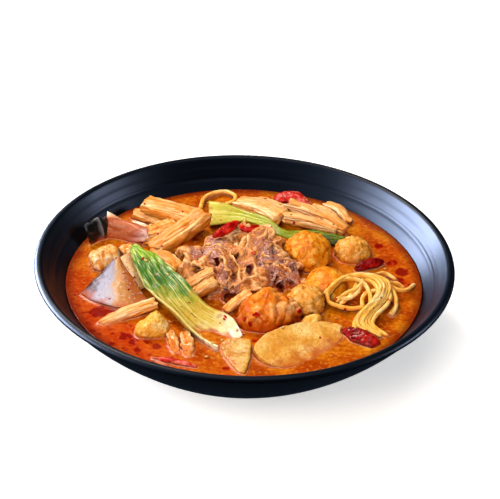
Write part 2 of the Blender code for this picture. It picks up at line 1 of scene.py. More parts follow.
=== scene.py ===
# %% [markdown]
# # A bowl of malatang
# Malatang is a Sichuan hot pot for one: beef, noodles, bean curd, greens and fish balls in a red, oily
# broth. This lesson dresses a plain solid model of it. The solids fix every size and place; each cell
# makes the fine surface of one kind of food and gives it a finish.
#
# Lengths in the cells are millimetres, because food is easier to picture that way. Blender's own unit is
# the metre, so a single factor turns one into the other when a mesh is made. Blender's vector noise
# starts from a seed of its own, so the seed is set once: the same food is served every time.

# %% The frame
import math
import random

import bmesh
import bpy
from mathutils import Matrix, Vector, noise
from mathutils.bvhtree import BVHTree


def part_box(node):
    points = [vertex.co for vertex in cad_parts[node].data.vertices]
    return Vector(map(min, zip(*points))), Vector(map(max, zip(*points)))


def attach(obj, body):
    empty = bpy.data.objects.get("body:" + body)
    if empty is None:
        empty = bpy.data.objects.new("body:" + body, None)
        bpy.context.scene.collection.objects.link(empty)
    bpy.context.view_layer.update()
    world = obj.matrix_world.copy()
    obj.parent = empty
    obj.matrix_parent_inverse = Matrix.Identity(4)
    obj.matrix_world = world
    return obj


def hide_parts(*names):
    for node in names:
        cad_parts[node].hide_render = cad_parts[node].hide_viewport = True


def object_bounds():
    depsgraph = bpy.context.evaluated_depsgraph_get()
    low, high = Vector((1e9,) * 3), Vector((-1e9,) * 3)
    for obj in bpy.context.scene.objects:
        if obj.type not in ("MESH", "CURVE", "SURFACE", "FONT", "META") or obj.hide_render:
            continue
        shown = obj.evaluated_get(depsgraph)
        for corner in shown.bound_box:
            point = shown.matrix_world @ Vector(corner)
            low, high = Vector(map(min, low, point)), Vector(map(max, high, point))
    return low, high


MM = 0.001
UP = Vector((0, 0, 1))

noise.seed_set(4)
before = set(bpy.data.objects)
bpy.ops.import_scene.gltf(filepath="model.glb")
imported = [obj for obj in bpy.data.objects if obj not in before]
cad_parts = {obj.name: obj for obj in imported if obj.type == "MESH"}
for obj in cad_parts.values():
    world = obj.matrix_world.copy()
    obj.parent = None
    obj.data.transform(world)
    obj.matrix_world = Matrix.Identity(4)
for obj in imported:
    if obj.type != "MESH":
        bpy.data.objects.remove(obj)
cad_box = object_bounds()
bowl_low, bowl_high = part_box("bowl")
RIM_RADIUS = (bowl_high.x - bowl_low.x) / 2 / MM
RIM_HEIGHT = bowl_high.z / MM
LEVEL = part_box("broth")[1].z / MM
print(f"rim {RIM_RADIUS:.1f} mm, rim height {RIM_HEIGHT:.1f} mm, broth at {LEVEL:.1f} mm")

# %% [markdown]
# ## The camera
# A bowl of food is mostly looked at from a seat at the table, about 32 degrees above it. A long lens from
# well back keeps the rim's ellipse calm. The camera tilts a little sideways, so that the rim's right side
# sits higher. A matrix built from the camera's three directions says all of that at once.

# %% Camera
ELEVATION = math.radians(32.3)
TILT = math.radians(1.62)
DISTANCE = 8 * RIM_RADIUS * MM

ahead = Vector((0, math.cos(ELEVATION), -math.sin(ELEVATION)))
level_right = Vector((1, 0, 0))
level_up = level_right.cross(ahead)
camera_right = level_right * math.cos(TILT) + level_up * math.sin(TILT)
camera_up = level_up * math.cos(TILT) - level_right * math.sin(TILT)

camera = bpy.data.objects.new("camera", bpy.data.cameras.new("camera"))
bpy.context.scene.collection.objects.link(camera)
camera.data.lens = 120.8
camera.data.sensor_width = 36
camera.data.clip_start = 0.05
camera.data.shift_x = 0.0104
camera.data.shift_y = 0.0106
camera.location = Vector((0, 0, RIM_HEIGHT * MM)) - ahead * DISTANCE
camera.rotation_euler = Matrix((camera_right, camera_up, -ahead)).transposed().to_euler()
bpy.context.scene.camera = camera
print(f"camera {DISTANCE:.2f} m from the rim's centre")

# %% [markdown]
# ## Light
# The bowl is black and matte, so nothing but a lamp's soft reflection can draw it, and a lamp that does
# this well is far too strong for the food. So each lamp has its own share of the picture. Four cold
# softboxes light only the bowl: the one low on the left glows back from the right inner wall. Three weak
# ones light only the food and the floor, and a warm key lamp behind lights everything and leaves dark
# hollows between the pieces. The world is dim, so that the rim's top stays black.

# %% Studio
COLD = "c4d6ff"
LAMPS = {
    # name: place and size in metres, power in watts, colour, and what it lights
    "glow_left": ((-0.85, 0.49, 0.27), (0.75, 0.42), 90.0, COLD, "bowl"),
    "glow_above": ((-0.88, 0.10, 0.46), (0.50, 0.40), 34.0, COLD, "bowl"),
    "glow_right": ((0.95, 0.05, 0.45), (0.30, 0.30), 12.0, COLD, "bowl"),
    "glow_top": ((0.10, -0.05, 1.50), (1.00, 1.00), 8.0, COLD, "bowl"),
    "key_behind": ((-0.42, 0.60, 0.90), (0.36, 0.36), 11.0, "fff2e0", "all"),
    "overhead": ((0.10, -0.05, 1.50), (1.00, 1.00), 8.0, "fff8f0", "food"),
    "front_fill": ((-0.30, -0.80, 0.75), (0.50, 0.40), 9.0, "fff4e4", "food"),
    "window_left": ((-0.90, 0.10, 0.45), (0.50, 0.40), 3.0, "f0f4ff", "food"),
}


def linear(code):
    """The linear colour that Blender's nodes take, from an sRGB hex code."""
    channels = [int(code[i : i + 2], 16) / 255 for i in (0, 2, 4)]
    return (*(c / 12.92 if c <= 0.04045 else ((c + 0.055) / 1.055) ** 2.4 for c in channels), 1)


for name, (place, size, power, code, _) in LAMPS.items():
    lamp = bpy.data.objects.new(name, bpy.data.lights.new(name, "AREA"))
    bpy.context.scene.collection.objects.link(lamp)
    lamp.data.shape = "RECTANGLE"
    lamp.data.size, lamp.data.size_y = size
    lamp.data.energy = power
    lamp.data.color = linear(code)[:3]
    lamp.location = place
    lamp.rotation_euler = (Vector(place) - Vector((0, 0, 0.05))).to_track_quat("Z", "Y").to_euler()

world = bpy.data.worlds.new("studio")
bpy.context.scene.world = world
world.use_nodes = True
world.node_tree.nodes["Background"].inputs["Color"].default_value = linear("a8c8ff")
world.node_tree.nodes["Background"].inputs["Strength"].default_value = 0.06
bpy.context.scene.view_settings.view_transform = "Standard"
print(f"{len(LAMPS)} lamps, {sum(lamp[2] for lamp in LAMPS.values()):.0f} W in all")

# %% [markdown]
# ## Building materials from nodes
# A material in Blender is a small graph. One function adds a node, sets its properties and fills its
# inputs, either with a number or with another node's output, so a whole finish reads as a short list.
# The patterns are drawn in the food's own coordinates: every mesh here carries an attribute called grain,
# which says where a point lies along, across and over its piece, in millimetres, before the piece was
# bent or curled. Fibres and ridges then follow the piece however it lies. A second attribute, tone, is
# one number for whatever the mesh knows best, such as how fatty the meat is.
#
# Painting helps to think about the rest: a finish is a ground colour and then coat upon coat, each brushed
# only where some mask says so.

# %% Helpers for nodes
def add_node(tree, kind, sockets=None, out=0, ramp=None, **settings):
    """Adds a node and gives one of its outputs. Settings are its properties, sockets its inputs: numbers,
    colours or other nodes' outputs."""
    node = tree.nodes.new("ShaderNode" + kind)
    for name, value in settings.items():
        setattr(node, name, value)
    for name, value in (sockets or {}).items():
        if isinstance(value, bpy.types.NodeSocket):
            tree.links.new(value, node.inputs[name])
        else:
            node.inputs[name].default_value = value
    for number, (place, code) in enumerate(ramp or []):
        elements = node.color_ramp.elements
        element = elements[number] if number < 2 else elements.new(place)
        element.position = place
        element.color = linear(code)
    return node.outputs[out]


def start_material(name, **constants):
    """A new material, its tree and its Principled shader, with constants set on the shader's own sockets."""
    material = bpy.data.materials.new(name)
    material.use_nodes = True
    shader = material.node_tree.nodes["Principled BSDF"]
    for socket, value in constants.items():
        shader.inputs[socket.replace("_", " ")].default_value = value
    return material, material.node_tree, shader


def own_place(tree):
    """The two attributes that every mesh here carries: its grain and its tone."""
    grain = add_node(tree, "Attribute", out="Vector", attribute_name="grain")
    return grain, add_node(tree, "Attribute", out="Fac", attribute_name="tone")


def coat(tree, colour, code, mask, start, full, cover):
    """The colour with another brushed over it: none where the mask is at start, cover where it is at full."""
    amount = add_node(tree, "MapRange", {0: mask, 1: start, 2: full, 3: 0.0, 4: cover})
    return add_node(tree, "MixRGB", {"Fac": amount, "Color1": colour, "Color2": linear(code)})


def connect(tree, shader, height, bump_mm, colour=None, sheen=None):
    """Gives the shader a relief of that height and depth, a colour, and a sheen: a mask, two of its values,
    and the roughness at each."""
    if colour is not None:
        tree.links.new(colour, shader.inputs["Base Color"])
    if sheen is not None:
        roughness = add_node(tree, "MapRange", dict(enumerate(sheen)))
        tree.links.new(roughness, shader.inputs["Roughness"])
    relief = add_node(tree, "Bump", {"Height": height, "Distance": bump_mm * MM})
    tree.links.new(relief, shader.inputs["Normal"])


# %% [markdown]
# ## Cooked food
# Most of the bowl is cooked food with a film of oily broth on it. What the eye reads is the same each
# time: broad patches where broth has soaked in, a fine grain, painted shade in the creases, a few specks,
# small bumps, a broken gloss, and an orange tide mark where the piece stands in the broth. One recipe takes
# the colours and the real sizes in millimetres. Water and oil have an index of refraction near 1.4, which
# gives the film's weak, wide highlight, and light goes a few millimetres into the food and comes out warm.
#
# Pointiness is Cycles' own measure of how a mesh bends: below a half in a crease, above it on a ridge.
# Ambient occlusion measures how much open sky a point sees, so it finds the hollows between pieces,
# which get painted shade.

# %% The recipe for cooked food
BROTH_STAIN = "b44c06"
# The colour of the painted shade in the hollows between pieces.
HOLLOW_SHADE = "5c1803"


def soaked(tree, colour, reach=3.0, stain=BROTH_STAIN, hollow=0.85):
    """The colour, with painted shade in the hollows between pieces, where little open sky is seen, and with
    a tide mark of broth up to about that many millimetres above the level."""
    # Painted shade: the less open sky a point sees, the darker its colour is painted.
    open_sky = add_node(tree, "AmbientOcclusion", {"Distance": 7 * MM}, out="AO", samples=8)
    colour = coat(tree, colour, HOLLOW_SHADE, open_sky, 0.6, 0.15, hollow)
    position = add_node(tree, "NewGeometry", out="Position")
    height = add_node(tree, "SeparateXYZ", {0: position}, out="Z")
    uneven = add_node(tree, "TexNoise", {"Vector": position, "Scale": 1 / (5 * MM), "Detail": 3.0})
    wander = reach + 3
    lift = add_node(tree, "Math", {0: uneven, 1: -wander * MM, 2: height}, operation="MULTIPLY_ADD")
    low = LEVEL - 0.4 * wander
    return coat(tree, colour, stain, lift, (low + reach) * MM, low * MM, 0.85)


def cooked(name, patches, patch_mm, grain_mm, stretch=1.0, specks=None, bump_mm=0.15, gloss=(0.25, 0.5),
           soft=0.12, shade="8a3a08", reach=3.0, stain=BROTH_STAIN, hollow=0.85, film=0.4):
    """A moist food finish. Patches is a ramp of colours; stretch draws the grain out along the piece;
    specks is (colour, spacing in mm, share of the spacing that is dark); shade colours the grain's dark
    flecks and is the painted shade in its creases and in the grooves that its tone marks."""
    material, tree, shader = start_material(
        name, IOR=1.4, Specular_IOR_Level=film, Subsurface_Weight=soft, Subsurface_Radius=(1.0, 0.45, 0.2),
        Subsurface_Scale=3 * MM,
    )
    place, tone = own_place(tree)
    bend = add_node(tree, "NewGeometry", out="Pointiness")
    drawn = add_node(tree, "VectorMath", {0: place, 1: (1 / stretch, 1, 1)}, operation="MULTIPLY")
    broad = add_node(tree, "TexNoise", {"Vector": drawn, "Scale": 1 / patch_mm, "Detail": 3.0})
    fine = add_node(tree, "TexNoise", {"Vector": drawn, "Scale": 1 / grain_mm, "Detail": 4.0})
    colour = add_node(tree, "ValToRGB", {"Fac": broad}, ramp=patches)
    colour = coat(tree, colour, shade, fine, 0.52, 0.34, 0.7)
    # Painted shade: in the creases, where pointiness is low, and in the grooves that the tone marks.
    colour = coat(tree, colour, shade, bend, 0.495, 0.44, 0.8)
    colour = coat(tree, colour, shade, tone, 0.0, 1.0, 0.85)
    if specks:
        code, spacing, share = specks
        cells = add_node(tree, "TexVoronoi", {"Vector": place, "Scale": 1 / spacing})
        colour = coat(tree, colour, code, cells, share, share * 0.6, 0.85)
    colour = soaked(tree, colour, reach, stain, hollow)
    connect(tree, shader, fine, bump_mm, colour, (broad, 0.35, 0.65, *gloss))
    return material


# %% [markdown]
# ## Making meshes
# A food's surface is easiest to write as a rule: given two numbers from 0 to 1, where is the point? A rule
# gives as fine a mesh as is needed, and noise in the rule gives the unevenness. A small class gathers
# points and faces, so that many slices or strands can become one mesh.

# %% A shape
class Shape:
    """Points in millimetres, the faces between them, and for each point its grain and its tone."""

    def __init__(self):
        self.points, self.faces, self.grain, self.tone = [], [], [], []

    def add(self, point, grain, tone=0.0):
        self.points.append(point)
        self.grain.append(grain)
        self.tone.append(tone)
        return len(self.points) - 1

    def join(self, other):
        start = len(self.points)
        self.points += other.points
        self.grain += other.grain
        self.tone += other.tone
        self.faces += [[start + index for index in face] for face in other.faces]
        return self

    def wrap(self, rings, first=None, last=None):
        """Faces from ring to ring, and fans that close the two ends on a first and a last point."""
        for here, there in zip(rings, rings[1:]):
            self.faces += [[here[k - 1], here[k], there[k], there[k - 1]] for k in range(len(here))]
        for ring, point in ((rings[0], first), (rings[-1], last)):
            if point is not None:
                self.faces += [[ring[k - 1], ring[k], point] for k in range(len(ring))]
        return self


def noise_at(x, y, z):
    """Smooth noise between about -1 and 1, always the same at the same place."""
    return noise.noise(Vector((x, y, z)))


def clamp(value):
    return min(1, max(0, value))


# %% [markdown]
# Every piece is served in the same way. Its points and faces become a mesh with the two attributes, its
# faces are turned outward and shaded smooth, it gets its material and rides on the model's root, and the
# solids that it stands for are hidden.

# %% Serving a piece
made = []


def put(name, shape, material, slot, *nodes):
    """Turns a shape into a smooth mesh object that rides on the model and stands for those solids."""
    mesh = bpy.data.meshes.new(name)
    mesh.from_pydata([Vector(point) * MM for point in shape.points], [], shape.faces)
    grain = mesh.attributes.new("grain", "FLOAT_VECTOR", "POINT")
    grain.data.foreach_set("vector", [number for place in shape.grain for number in place])
    mesh.attributes.new("tone", "FLOAT", "POINT").data.foreach_set("value", shape.tone)
    closed = bmesh.new()
    closed.from_mesh(mesh)
    bmesh.ops.recalc_face_normals(closed, faces=closed.faces)
    closed.to_mesh(mesh)
    closed.free()
    mesh.shade_smooth()
    thing = bpy.data.objects.new(name, mesh)
    bpy.context.scene.collection.objects.link(thing)
    mesh.materials.append(material)
    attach(thing, "root")
    if nodes:
        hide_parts(*nodes)
    made.append(thing)
    print(f"{name}: {len(mesh.polygons)} faces for {', '.join(nodes) or 'no solid'}")
    return thing


# %% [markdown]
# Long foods are tubes: a section carried along a smooth route. A Catmull-Rom curve runs through every
# point of the route, so the points can be read off the food. The section turns no more than the route
# does, which keeps grooves straight along a bent stick.

# %% Strands and rods
def smooth_path(route, step):
    """Points every step along a Catmull-Rom curve through the given ones."""
    knots = [Vector(point) for point in route]
    knots = [2 * knots[0] - knots[1], *knots, 2 * knots[-1] - knots[-2]]
    dense = []
    samples = 16
    for a, b, c, d in zip(knots, knots[1:], knots[2:], knots[3:]):
        for k in range(samples):
            t = k / samples
            square = (2 * a - 5 * b + 4 * c - d) * t**2
            cube = (3 * b - a - 3 * c + d) * t**3
            dense.append(0.5 * (2 * b + (c - a) * t + square + cube))
    dense.append(knots[-2])
    lengths = [0.0]
    for first, second in zip(dense, dense[1:]):
        lengths.append(lengths[-1] + (second - first).length)
    count = max(3, round(lengths[-1] / step) + 1)
    found, k = [], 0
    for n in range(count):
        target = lengths[-1] * n / (count - 1)
        while k < len(dense) - 2 and lengths[k + 1] < target:
            k += 1
        share = (target - lengths[k]) / max(lengths[k + 1] - lengths[k], 1e-9)
        found.append(dense[k].lerp(dense[k + 1], min(share, 1)))
    return found


def tube(route, ring, sides, step, ragged=0.0, seed=0.0):
    """A strand or rod on a smooth route. ring(share, angle) gives how far a point of the section lies
    across and over the route, and its tone. Ragged is how unevenly the ends are cut."""
    places = smooth_path(route, step)
    last = len(places) - 1
    shape = Shape()
    rings = []
    side = (places[1] - places[0]).cross(UP).normalized()
    for k, place in enumerate(places):
        ahead = (places[min(k + 1, last)] - places[max(k - 1, 0)]).normalized()
        side = (side - ahead * side.dot(ahead)).normalized()
        over = side.cross(ahead)
        share = k / last
        end = max(0, 1 - min(k, last - k) * step / 4)
        rings.append([])
        for j in range(sides):
            angle = math.tau * j / sides
            x, y, tone = ring(share, angle)
            slip = ragged * end * noise_at(angle, share * 5, seed)
            rings[-1].append(shape.add(place + side * x + over * y + ahead * slip, (k * step, x, y), tone))
    caps = [shape.add(places[k], (k * step, 0, 0)) for k in (0, last)]
    return shape.wrap(rings, *caps)


# %% [markdown]
# Leaves, slices and sheets are thin solids. A rule gives the middle of the sheet, and two skins lie half
# its thickness to either side, so it has two real faces and a rim that thins, as cooked edges do.

# %% Sheets
def sheet(surface, size, thickness, rows, columns, rim, taper):
    """A thin solid on surface(u, v), which gives a point and a tone. It thins over taper mm to its rim,
    which is that share of its thickness."""
    length, width = size
    places = [
        [surface(row / rows, column / columns) for column in range(columns + 1)] for row in range(rows + 1)
    ]
    shape = Shape()
    top, under = [], []
    for row in range(rows + 1):
        for column in range(columns + 1):
            place, tone = places[row][column]
            along = places[min(row + 1, rows)][column][0] - places[max(row - 1, 0)][column][0]
            across = places[row][min(column + 1, columns)][0] - places[row][max(column - 1, 0)][0]
            normal = along.cross(across).normalized()
            u, v = row / rows, column / columns
            inset = min(u * length, (1 - u) * length, v * width, (1 - v) * width)
            share = rim + (1 - rim) * math.sin(min(inset / taper, 1) * math.pi / 2)
            half = normal * (thickness * share / 2)
            top.append(shape.add(place + half, (u * length, v * width, 0), tone))
            under.append(shape.add(place - half, (u * length, v * width, thickness), tone))
    span = columns + 1
    for row in range(rows):
        for column in range(columns):
            a = row * span + column
            corners = [a, a + 1, a + span + 1, a + span]
            shape.faces.append([top[c] for c in corners])
            shape.faces.append([under[c] for c in reversed(corners)])
    border = list(range(span))
    border += [row * span + columns for row in range(1, rows + 1)]
    border += [rows * span + c for c in range(columns - 1, -1, -1)]
    border += [row * span for row in range(rows - 1, 0, -1)]
    for here, there in zip(border, border[1:] + border[:1]):
        shape.faces.append([top[here], under[here], under[there], top[there]])
    return shape


def between(left, right, bulge, ruffle=0.0, waves=2.0):
    """A surface between two edges. Bulge is how far its middle stands off at the start and at the end."""
    ends = [Vector(b) for b in bulge]
    edges = [smooth_path(points, 0.25) for points in (left, right)]

    def surface(u, v):
        first, second = (edge[round(u * (len(edge) - 1))] for edge in edges)
        place = first.lerp(second, v) + ends[0].lerp(ends[1], u) * (4 * v * (1 - v))
        hem = abs(2 * v - 1) ** 1.5
        place.z += ruffle * hem * math.sin(math.tau * waves * u + (2.0 if v > 0.5 else 0.0))
        return place

    return surface


# %% [markdown]
# Round foods start from their solids. A ball is a fine sphere as large as the solid's box. Anything less
# regular gets a skin: a voxel remesh turns the solid's few faces into many even ones, smoothing rounds
# them, and a rule raises the relief. The solid itself is only copied and never changed.

# %% Balls and skins
def box_of(node):
    """The middle of a solid's box and half its size, in millimetres."""
    low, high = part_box(node)
    return (low + high) / 2 / MM, (high - low) / 2 / MM


def ball(node, relief):
    """A fine ball as large as a solid's box. Its radius varies by relief(direction), a share of it."""
    middle, radii = box_of(node)
    blank = bmesh.new()
    bmesh.ops.create_icosphere(blank, subdivisions=5, radius=1)
    shape = Shape()
    for vertex in blank.verts:
        way = vertex.co.normalized()
        local = Vector((way.x * radii[0], way.y * radii[1], way.z * radii[2])) * (1 + relief(way))
        shape.add(middle + local, local)
    shape.faces = [[vertex.index for vertex in face.verts] for face in blank.faces]
    blank.free()
    return shape


def skin(node, voxel=0.5, rounds=12, subdivide=0, relief=None):
    """A fine closed skin over a solid: its mesh is remeshed and smoothed, then raised by relief(local),
    which gives a height in mm and a tone."""
    blank = bpy.data.objects.new("blank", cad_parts[node].data.copy())
    bpy.context.scene.collection.objects.link(blank)
    weld = blank.modifiers.new("weld", "WELD")
    weld.merge_threshold = 0.01 * MM
    if subdivide:
        blank.modifiers.new("round", "SUBSURF").levels = subdivide
    remesh = blank.modifiers.new("remesh", "REMESH")
    remesh.mode = "VOXEL"
    remesh.voxel_size = voxel * MM
    smooth = blank.modifiers.new("smooth", "SMOOTH")
    smooth.iterations = rounds
    bpy.context.view_layer.update()
    graph = bpy.context.evaluated_depsgraph_get()
    mesh = bpy.data.meshes.new_from_object(blank.evaluated_get(graph))
    bpy.data.objects.remove(blank)
    middle, _ = box_of(node)
    shape = Shape()
    for vertex in mesh.vertices:
        local = vertex.co / MM - middle
        lift, tone = relief(local) if relief else (0.0, 0.0)
        shape.add(vertex.co / MM + vertex.normal * lift, local, tone)
    shape.faces = [list(face.vertices) for face in mesh.polygons]
    bpy.data.meshes.remove(mesh)
    return shape


# %% [markdown]
# ## The bowl
# The bowl is moulded melamine, a hard black plastic with a fine matte skin: nearly black, with a soft,
# wide highlight that picks up the colour of the lamp. A bowl is a profile turned about an axis. The
# outside draws in faster and faster below the rim, the inside follows it at the wall's thickness, and a
# shallow step runs round the inside where the moulded flange begins. The lip is a quarter of an ellipse:
# a flat top would catch the sky as a grey band, and a rolled one keeps it to a thin line.

# %% Bowl
WALL = 3.6  # thickness
FOOT_RADIUS = 58.5
FLOOR = 9.0  # height of the inside's flat middle
STEP_HEIGHT = 47.4  # height of the ring where the flange begins
FLARE, BELLY = 0.595, 1.009  # how fast the outside draws in at the rim, and how much more lower down
LIP_WIDTH, LIP_DROP = 3, 2.4  # half axes of the lip's ellipse


def outer_radius(height):
    below = (RIM_HEIGHT - height) / RIM_RADIUS
    return RIM_RADIUS * (1 - FLARE * below - BELLY * below**2)


def inside_point(height, inset):
    """(radius, height) of the point that far in from the outside at a height, square to the wall."""
    slope = FLARE + 2 * BELLY * (RIM_HEIGHT - height) / RIM_RADIUS
    long = math.hypot(1, slope)
    return outer_radius(height) - inset / long, height + inset * slope / long


def circle(shape, radius, height, sides):
    """A level ring of points about the bowl's axis, where the finish needs no grain."""
    angles = [math.tau * k / sides for k in range(sides)]
    return [shape.add((radius * math.cos(a), radius * math.sin(a), height), (0, 0, 0)) for a in angles]


def turned(profile, sides):
    """A body turned about the bowl's axis from (radius, height) points that start and end on it."""
    shape = Shape()
    ends = [shape.add((0, 0, height), (0, 0, 0)) for _, height in (profile[0], profile[-1])]
    return shape.wrap([circle(shape, radius, height, sides) for radius, height in profile[1:-1]], *ends)


def bowl_profile():
    inside = [(0, FLOOR), (FOOT_RADIUS - 12, FLOOR), (FOOT_RADIUS + 2, FLOOR + 1.6)]
    low, high = 13, RIM_HEIGHT - 2.7  # heights of the outside between which the wall is followed
    for k in range(47):
        radius, level = inside_point(low + (high - low) * k / 46, WALL)
        past = level - STEP_HEIGHT
        groove = 0.55 * math.exp(-((past / 0.7) ** 2)) - 0.25 * math.exp(-(((past - 4.2) / 0.8) ** 2))
        inside.append((radius + groove, level))
    lip = [(RIM_RADIUS - 4.4, RIM_HEIGHT - 0.55), (RIM_RADIUS - 3.8, RIM_HEIGHT - 0.15)]
    for k in range(12):
        angle = math.radians(90 * k / 11)
        radius = RIM_RADIUS - LIP_WIDTH * (1 - math.sin(angle))
        lip.append((radius, RIM_HEIGHT - LIP_DROP * (1 - math.cos(angle))))
    outside = [(outer_radius(height), height) for height in range(55, 11, -2)]
    foot = [
        (65.0, 7.2), (60.2, 5.9), (58.6, 4.6), (58.3, 0.6), (57.8, 0), (54.5, 0), (54.0, 0.6), (53.2, 5.0),
        (0, 5.0),
    ]
    return inside + lip + outside + foot


melamine, tree, shader = start_material(
    "moulded_melamine_black", IOR=1.5, Roughness=0.36, Base_Color=linear("030609"), Specular_IOR_Level=0.12
)
place = add_node(tree, "TexCoord", out="Object")
# The skin's unevenness is drawn at 1.5 mm, coarser than it really is, so that it shows.
orange_peel = add_node(tree, "TexNoise", {"Vector": place, "Scale": 1 / (1.5 * MM), "Detail": 2.0})
cloud = add_node(tree, "TexNoise", {"Vector": place, "Scale": 1 / (40 * MM), "Detail": 3.0})
connect(tree, shader, orange_peel, 0.01, sheen=(cloud, 0.3, 0.7, 0.33, 0.39))
bowl = put("bowl_turned", turned(bowl_profile(), 240), melamine, "melamine", "bowl")

# %% [markdown]
# ## Sliced beef
# Boiled beef comes in slices a millimetre or two thick, which curl and ruffle as they shrink. The lean
# faces are grey-brown, the fat along the edges is pale and takes up the broth's orange, and the gaps are
# painted dark as shade. The heap is made in two steps. Its solid gets a skin that is raised into folds, so
# that no gap looks right through it. Then slices lie on it: each is a rectangle curled about its long axis
# with waves along one side. The tone is how fatty the meat is: below nought it is lean, lower in the
# valleys of the heap's folds and far below in a gap, and these low tones paint shade.

# %% Beef
SLICES = [
    # centre, length, width, (roll, pitch, heading), curl, ruffle, waves
    ((-24, 10, 54), 26, 22, (-10, 8, 20), 150, 1.5, 1.5),
    ((-30, -4, 48.5), 18, 24, (10, 10, -60), 240, 0.6, 1.0),
    ((-14, 2, 54.5), 26, 26, (25, -8, 55), 130, 1.6, 1.0),
    ((1, 11, 58), 24, 18, (-30, -30, 70), 120, 2.6, 1.8),
    ((-3, -3, 53), 22, 12, (20, 20, 35), 100, 1.8, 1.5),
    ((12, 11, 57), 24, 26, (-15, 12, -25), 140, 1.6, 1.2),
    ((21, 4, 53), 24, 22, (10, 28, -20), 150, 1.5, 1.5),
    ((28, -4, 48.5), 18, 16, (10, 40, -35), 160, 1.0, 1.0),
    ((4, -4, 49), 30, 12, (40, 5, 10), 110, 1.8, 2.0),
    ((-4, -11, 47.5), 14, 22, (0, 15, 75), 260, 0.5, 1.0),
    ((-12, -14, 47), 22, 22, (5, 25, -70), 170, 1.0, 1.0),
    ((12, -11, 47), 24, 14, (35, 5, 12), 120, 2.2, 2.5),
    ((-9, -20, 43), 20, 12, (25, 0, -15), 60, 1.0, 1.5),
    ((5, 25, 57), 24, 18, (15, 0, 20), 140, 1.8, 1.5),
    ((-13, 20, 54), 22, 18, (10, -5, -30), 130, 1.5, 1.5),
    ((14, 22, 55), 20, 16, (-10, 20, 60), 140, 1.5, 1.5),
]
FRILLS = 6  # curls that are left to chance
# x, y and reach of the grey, lean meat, and of the gaps, which sink and are painted dark as shade
LEAN = [(-24, 12, 11), (18, 4, 11), (29, 3, 9), (-11, -14, 7)]
GAPS = [(-7, -21, 4.5), (26, -12, 5), (19, -14, 4), (-17, -1, 3), (2, -5, 2.6)]
HEAP_MIDDLE, _ = box_of("beef")


def spread(spots, x, y):
    """From 0 to 1: how near a place is to one of the spots, whose outlines noise makes uneven."""
    drift = noise.noise_vector(Vector((x / 5, y / 5, 7.0))) * 3.5
    x, y = x + drift.x, y + drift.y
    return min(1, sum(math.exp(-((x - a) ** 2 + (y - b) ** 2) / reach**2) for a, b, reach in spots))


def slice_of_beef(spin, centre, length, width, curl, ruffle, waves, seed):
    """One slice: curled across its width, waved along one edge, crumpled all over."""
    bend = math.radians(curl)
    radius = width / bend

    def surface(u, v):
        angle = (v - 0.5) * bend
        place = Vector(((u - 0.5) * length, radius * math.sin(angle), radius * (math.cos(angle) - 1)))
        swell = noise_at(u * 2.3, v * 2.1, seed)
        wave = math.sin(math.tau * waves * u + seed) * (0.3 + 0.7 * v)
        place = place * (1 + 0.15 * swell) + Vector((0, 0.4, 1)) * (ruffle * wave)
        crumple = Vector((u * length / 7, v * width / 7, seed))
        place += noise.noise_vector(crumple) * 1.8 + noise.noise_vector(crumple * 2.8) * 0.4
        hem = abs(2 * v - 1) ** 3
        place.z += 1.5 * hem * math.sin(math.tau * length / 7 * u + seed * 2)
        edge = min(u * length, (1 - u) * length, v * width, (1 - v) * width)
        fat = max(0.0, 1 - edge / 2.2) + 0.6 * max(0, noise_at(u * 4, v * 5, seed + 9))
        spot = Vector(centre) + spin @ place
        gap = spread(GAPS, spot.x, spot.y)
        spot.z -= 5 * gap
        # The tone drops far in a gap, which the finish paints as shade.
        return spot, fat - 2.6 * spread(LEAN, spot.x, spot.y) * max(0, 1 - fat) - 4.0 * gap

    return sheet(surface, (length, width), 1.8, round(length * 1.8), round(width * 1.8), rim=0.55, taper=1.2)


def folds_of_meat(local):
    """Crumples a smooth heap: sharp crests where a warped noise crosses zero, deep where a gap is."""
    x, y = local.x + HEAP_MIDDLE.x, local.y + HEAP_MIDDLE.y
    warp = noise.noise_vector(local / 10) * 0.7
    crest = 1 - 2.4 * abs(noise.noise(local / 8.5 + warp))
    small = 1 - 2.4 * abs(noise.noise(local / 3.2 - warp))
    gap = spread(GAPS, x, y)
    lift = 2.8 * max(crest, -0.4) + 0.5 * max(small, -0.5) - 1.6 - 5 * gap
    fat = max(0, crest - 0.45) * 2 + 0.3 * max(0, small)
    # The tone drops in the valleys and far in a gap: painted shade.
    return lift, fat - 2.8 * spread(LEAN, x, y) * max(0, 1 - fat) - 1.8 * max(0, -crest) - 5.0 * gap


def search_tree(meshes, unit=1.0):
    """A tree of faces that quickly finds the nearest one, or the first that a ray meets. Its points are
    given in metres, or in the unit that is asked for."""
    points, faces = [], []
    for mesh in meshes:
        start = len(points)
        points += [vertex.co / unit for vertex in mesh.vertices]
        faces += [[start + index for index in face.vertices] for face in mesh.polygons]
    return BVHTree.FromPolygons(points, faces)


# %% [markdown]
# The chosen slices follow the real heap. A few small curls between them are left to chance: a ray is shot
# at the solid from a random side, and a curl lies where it lands.

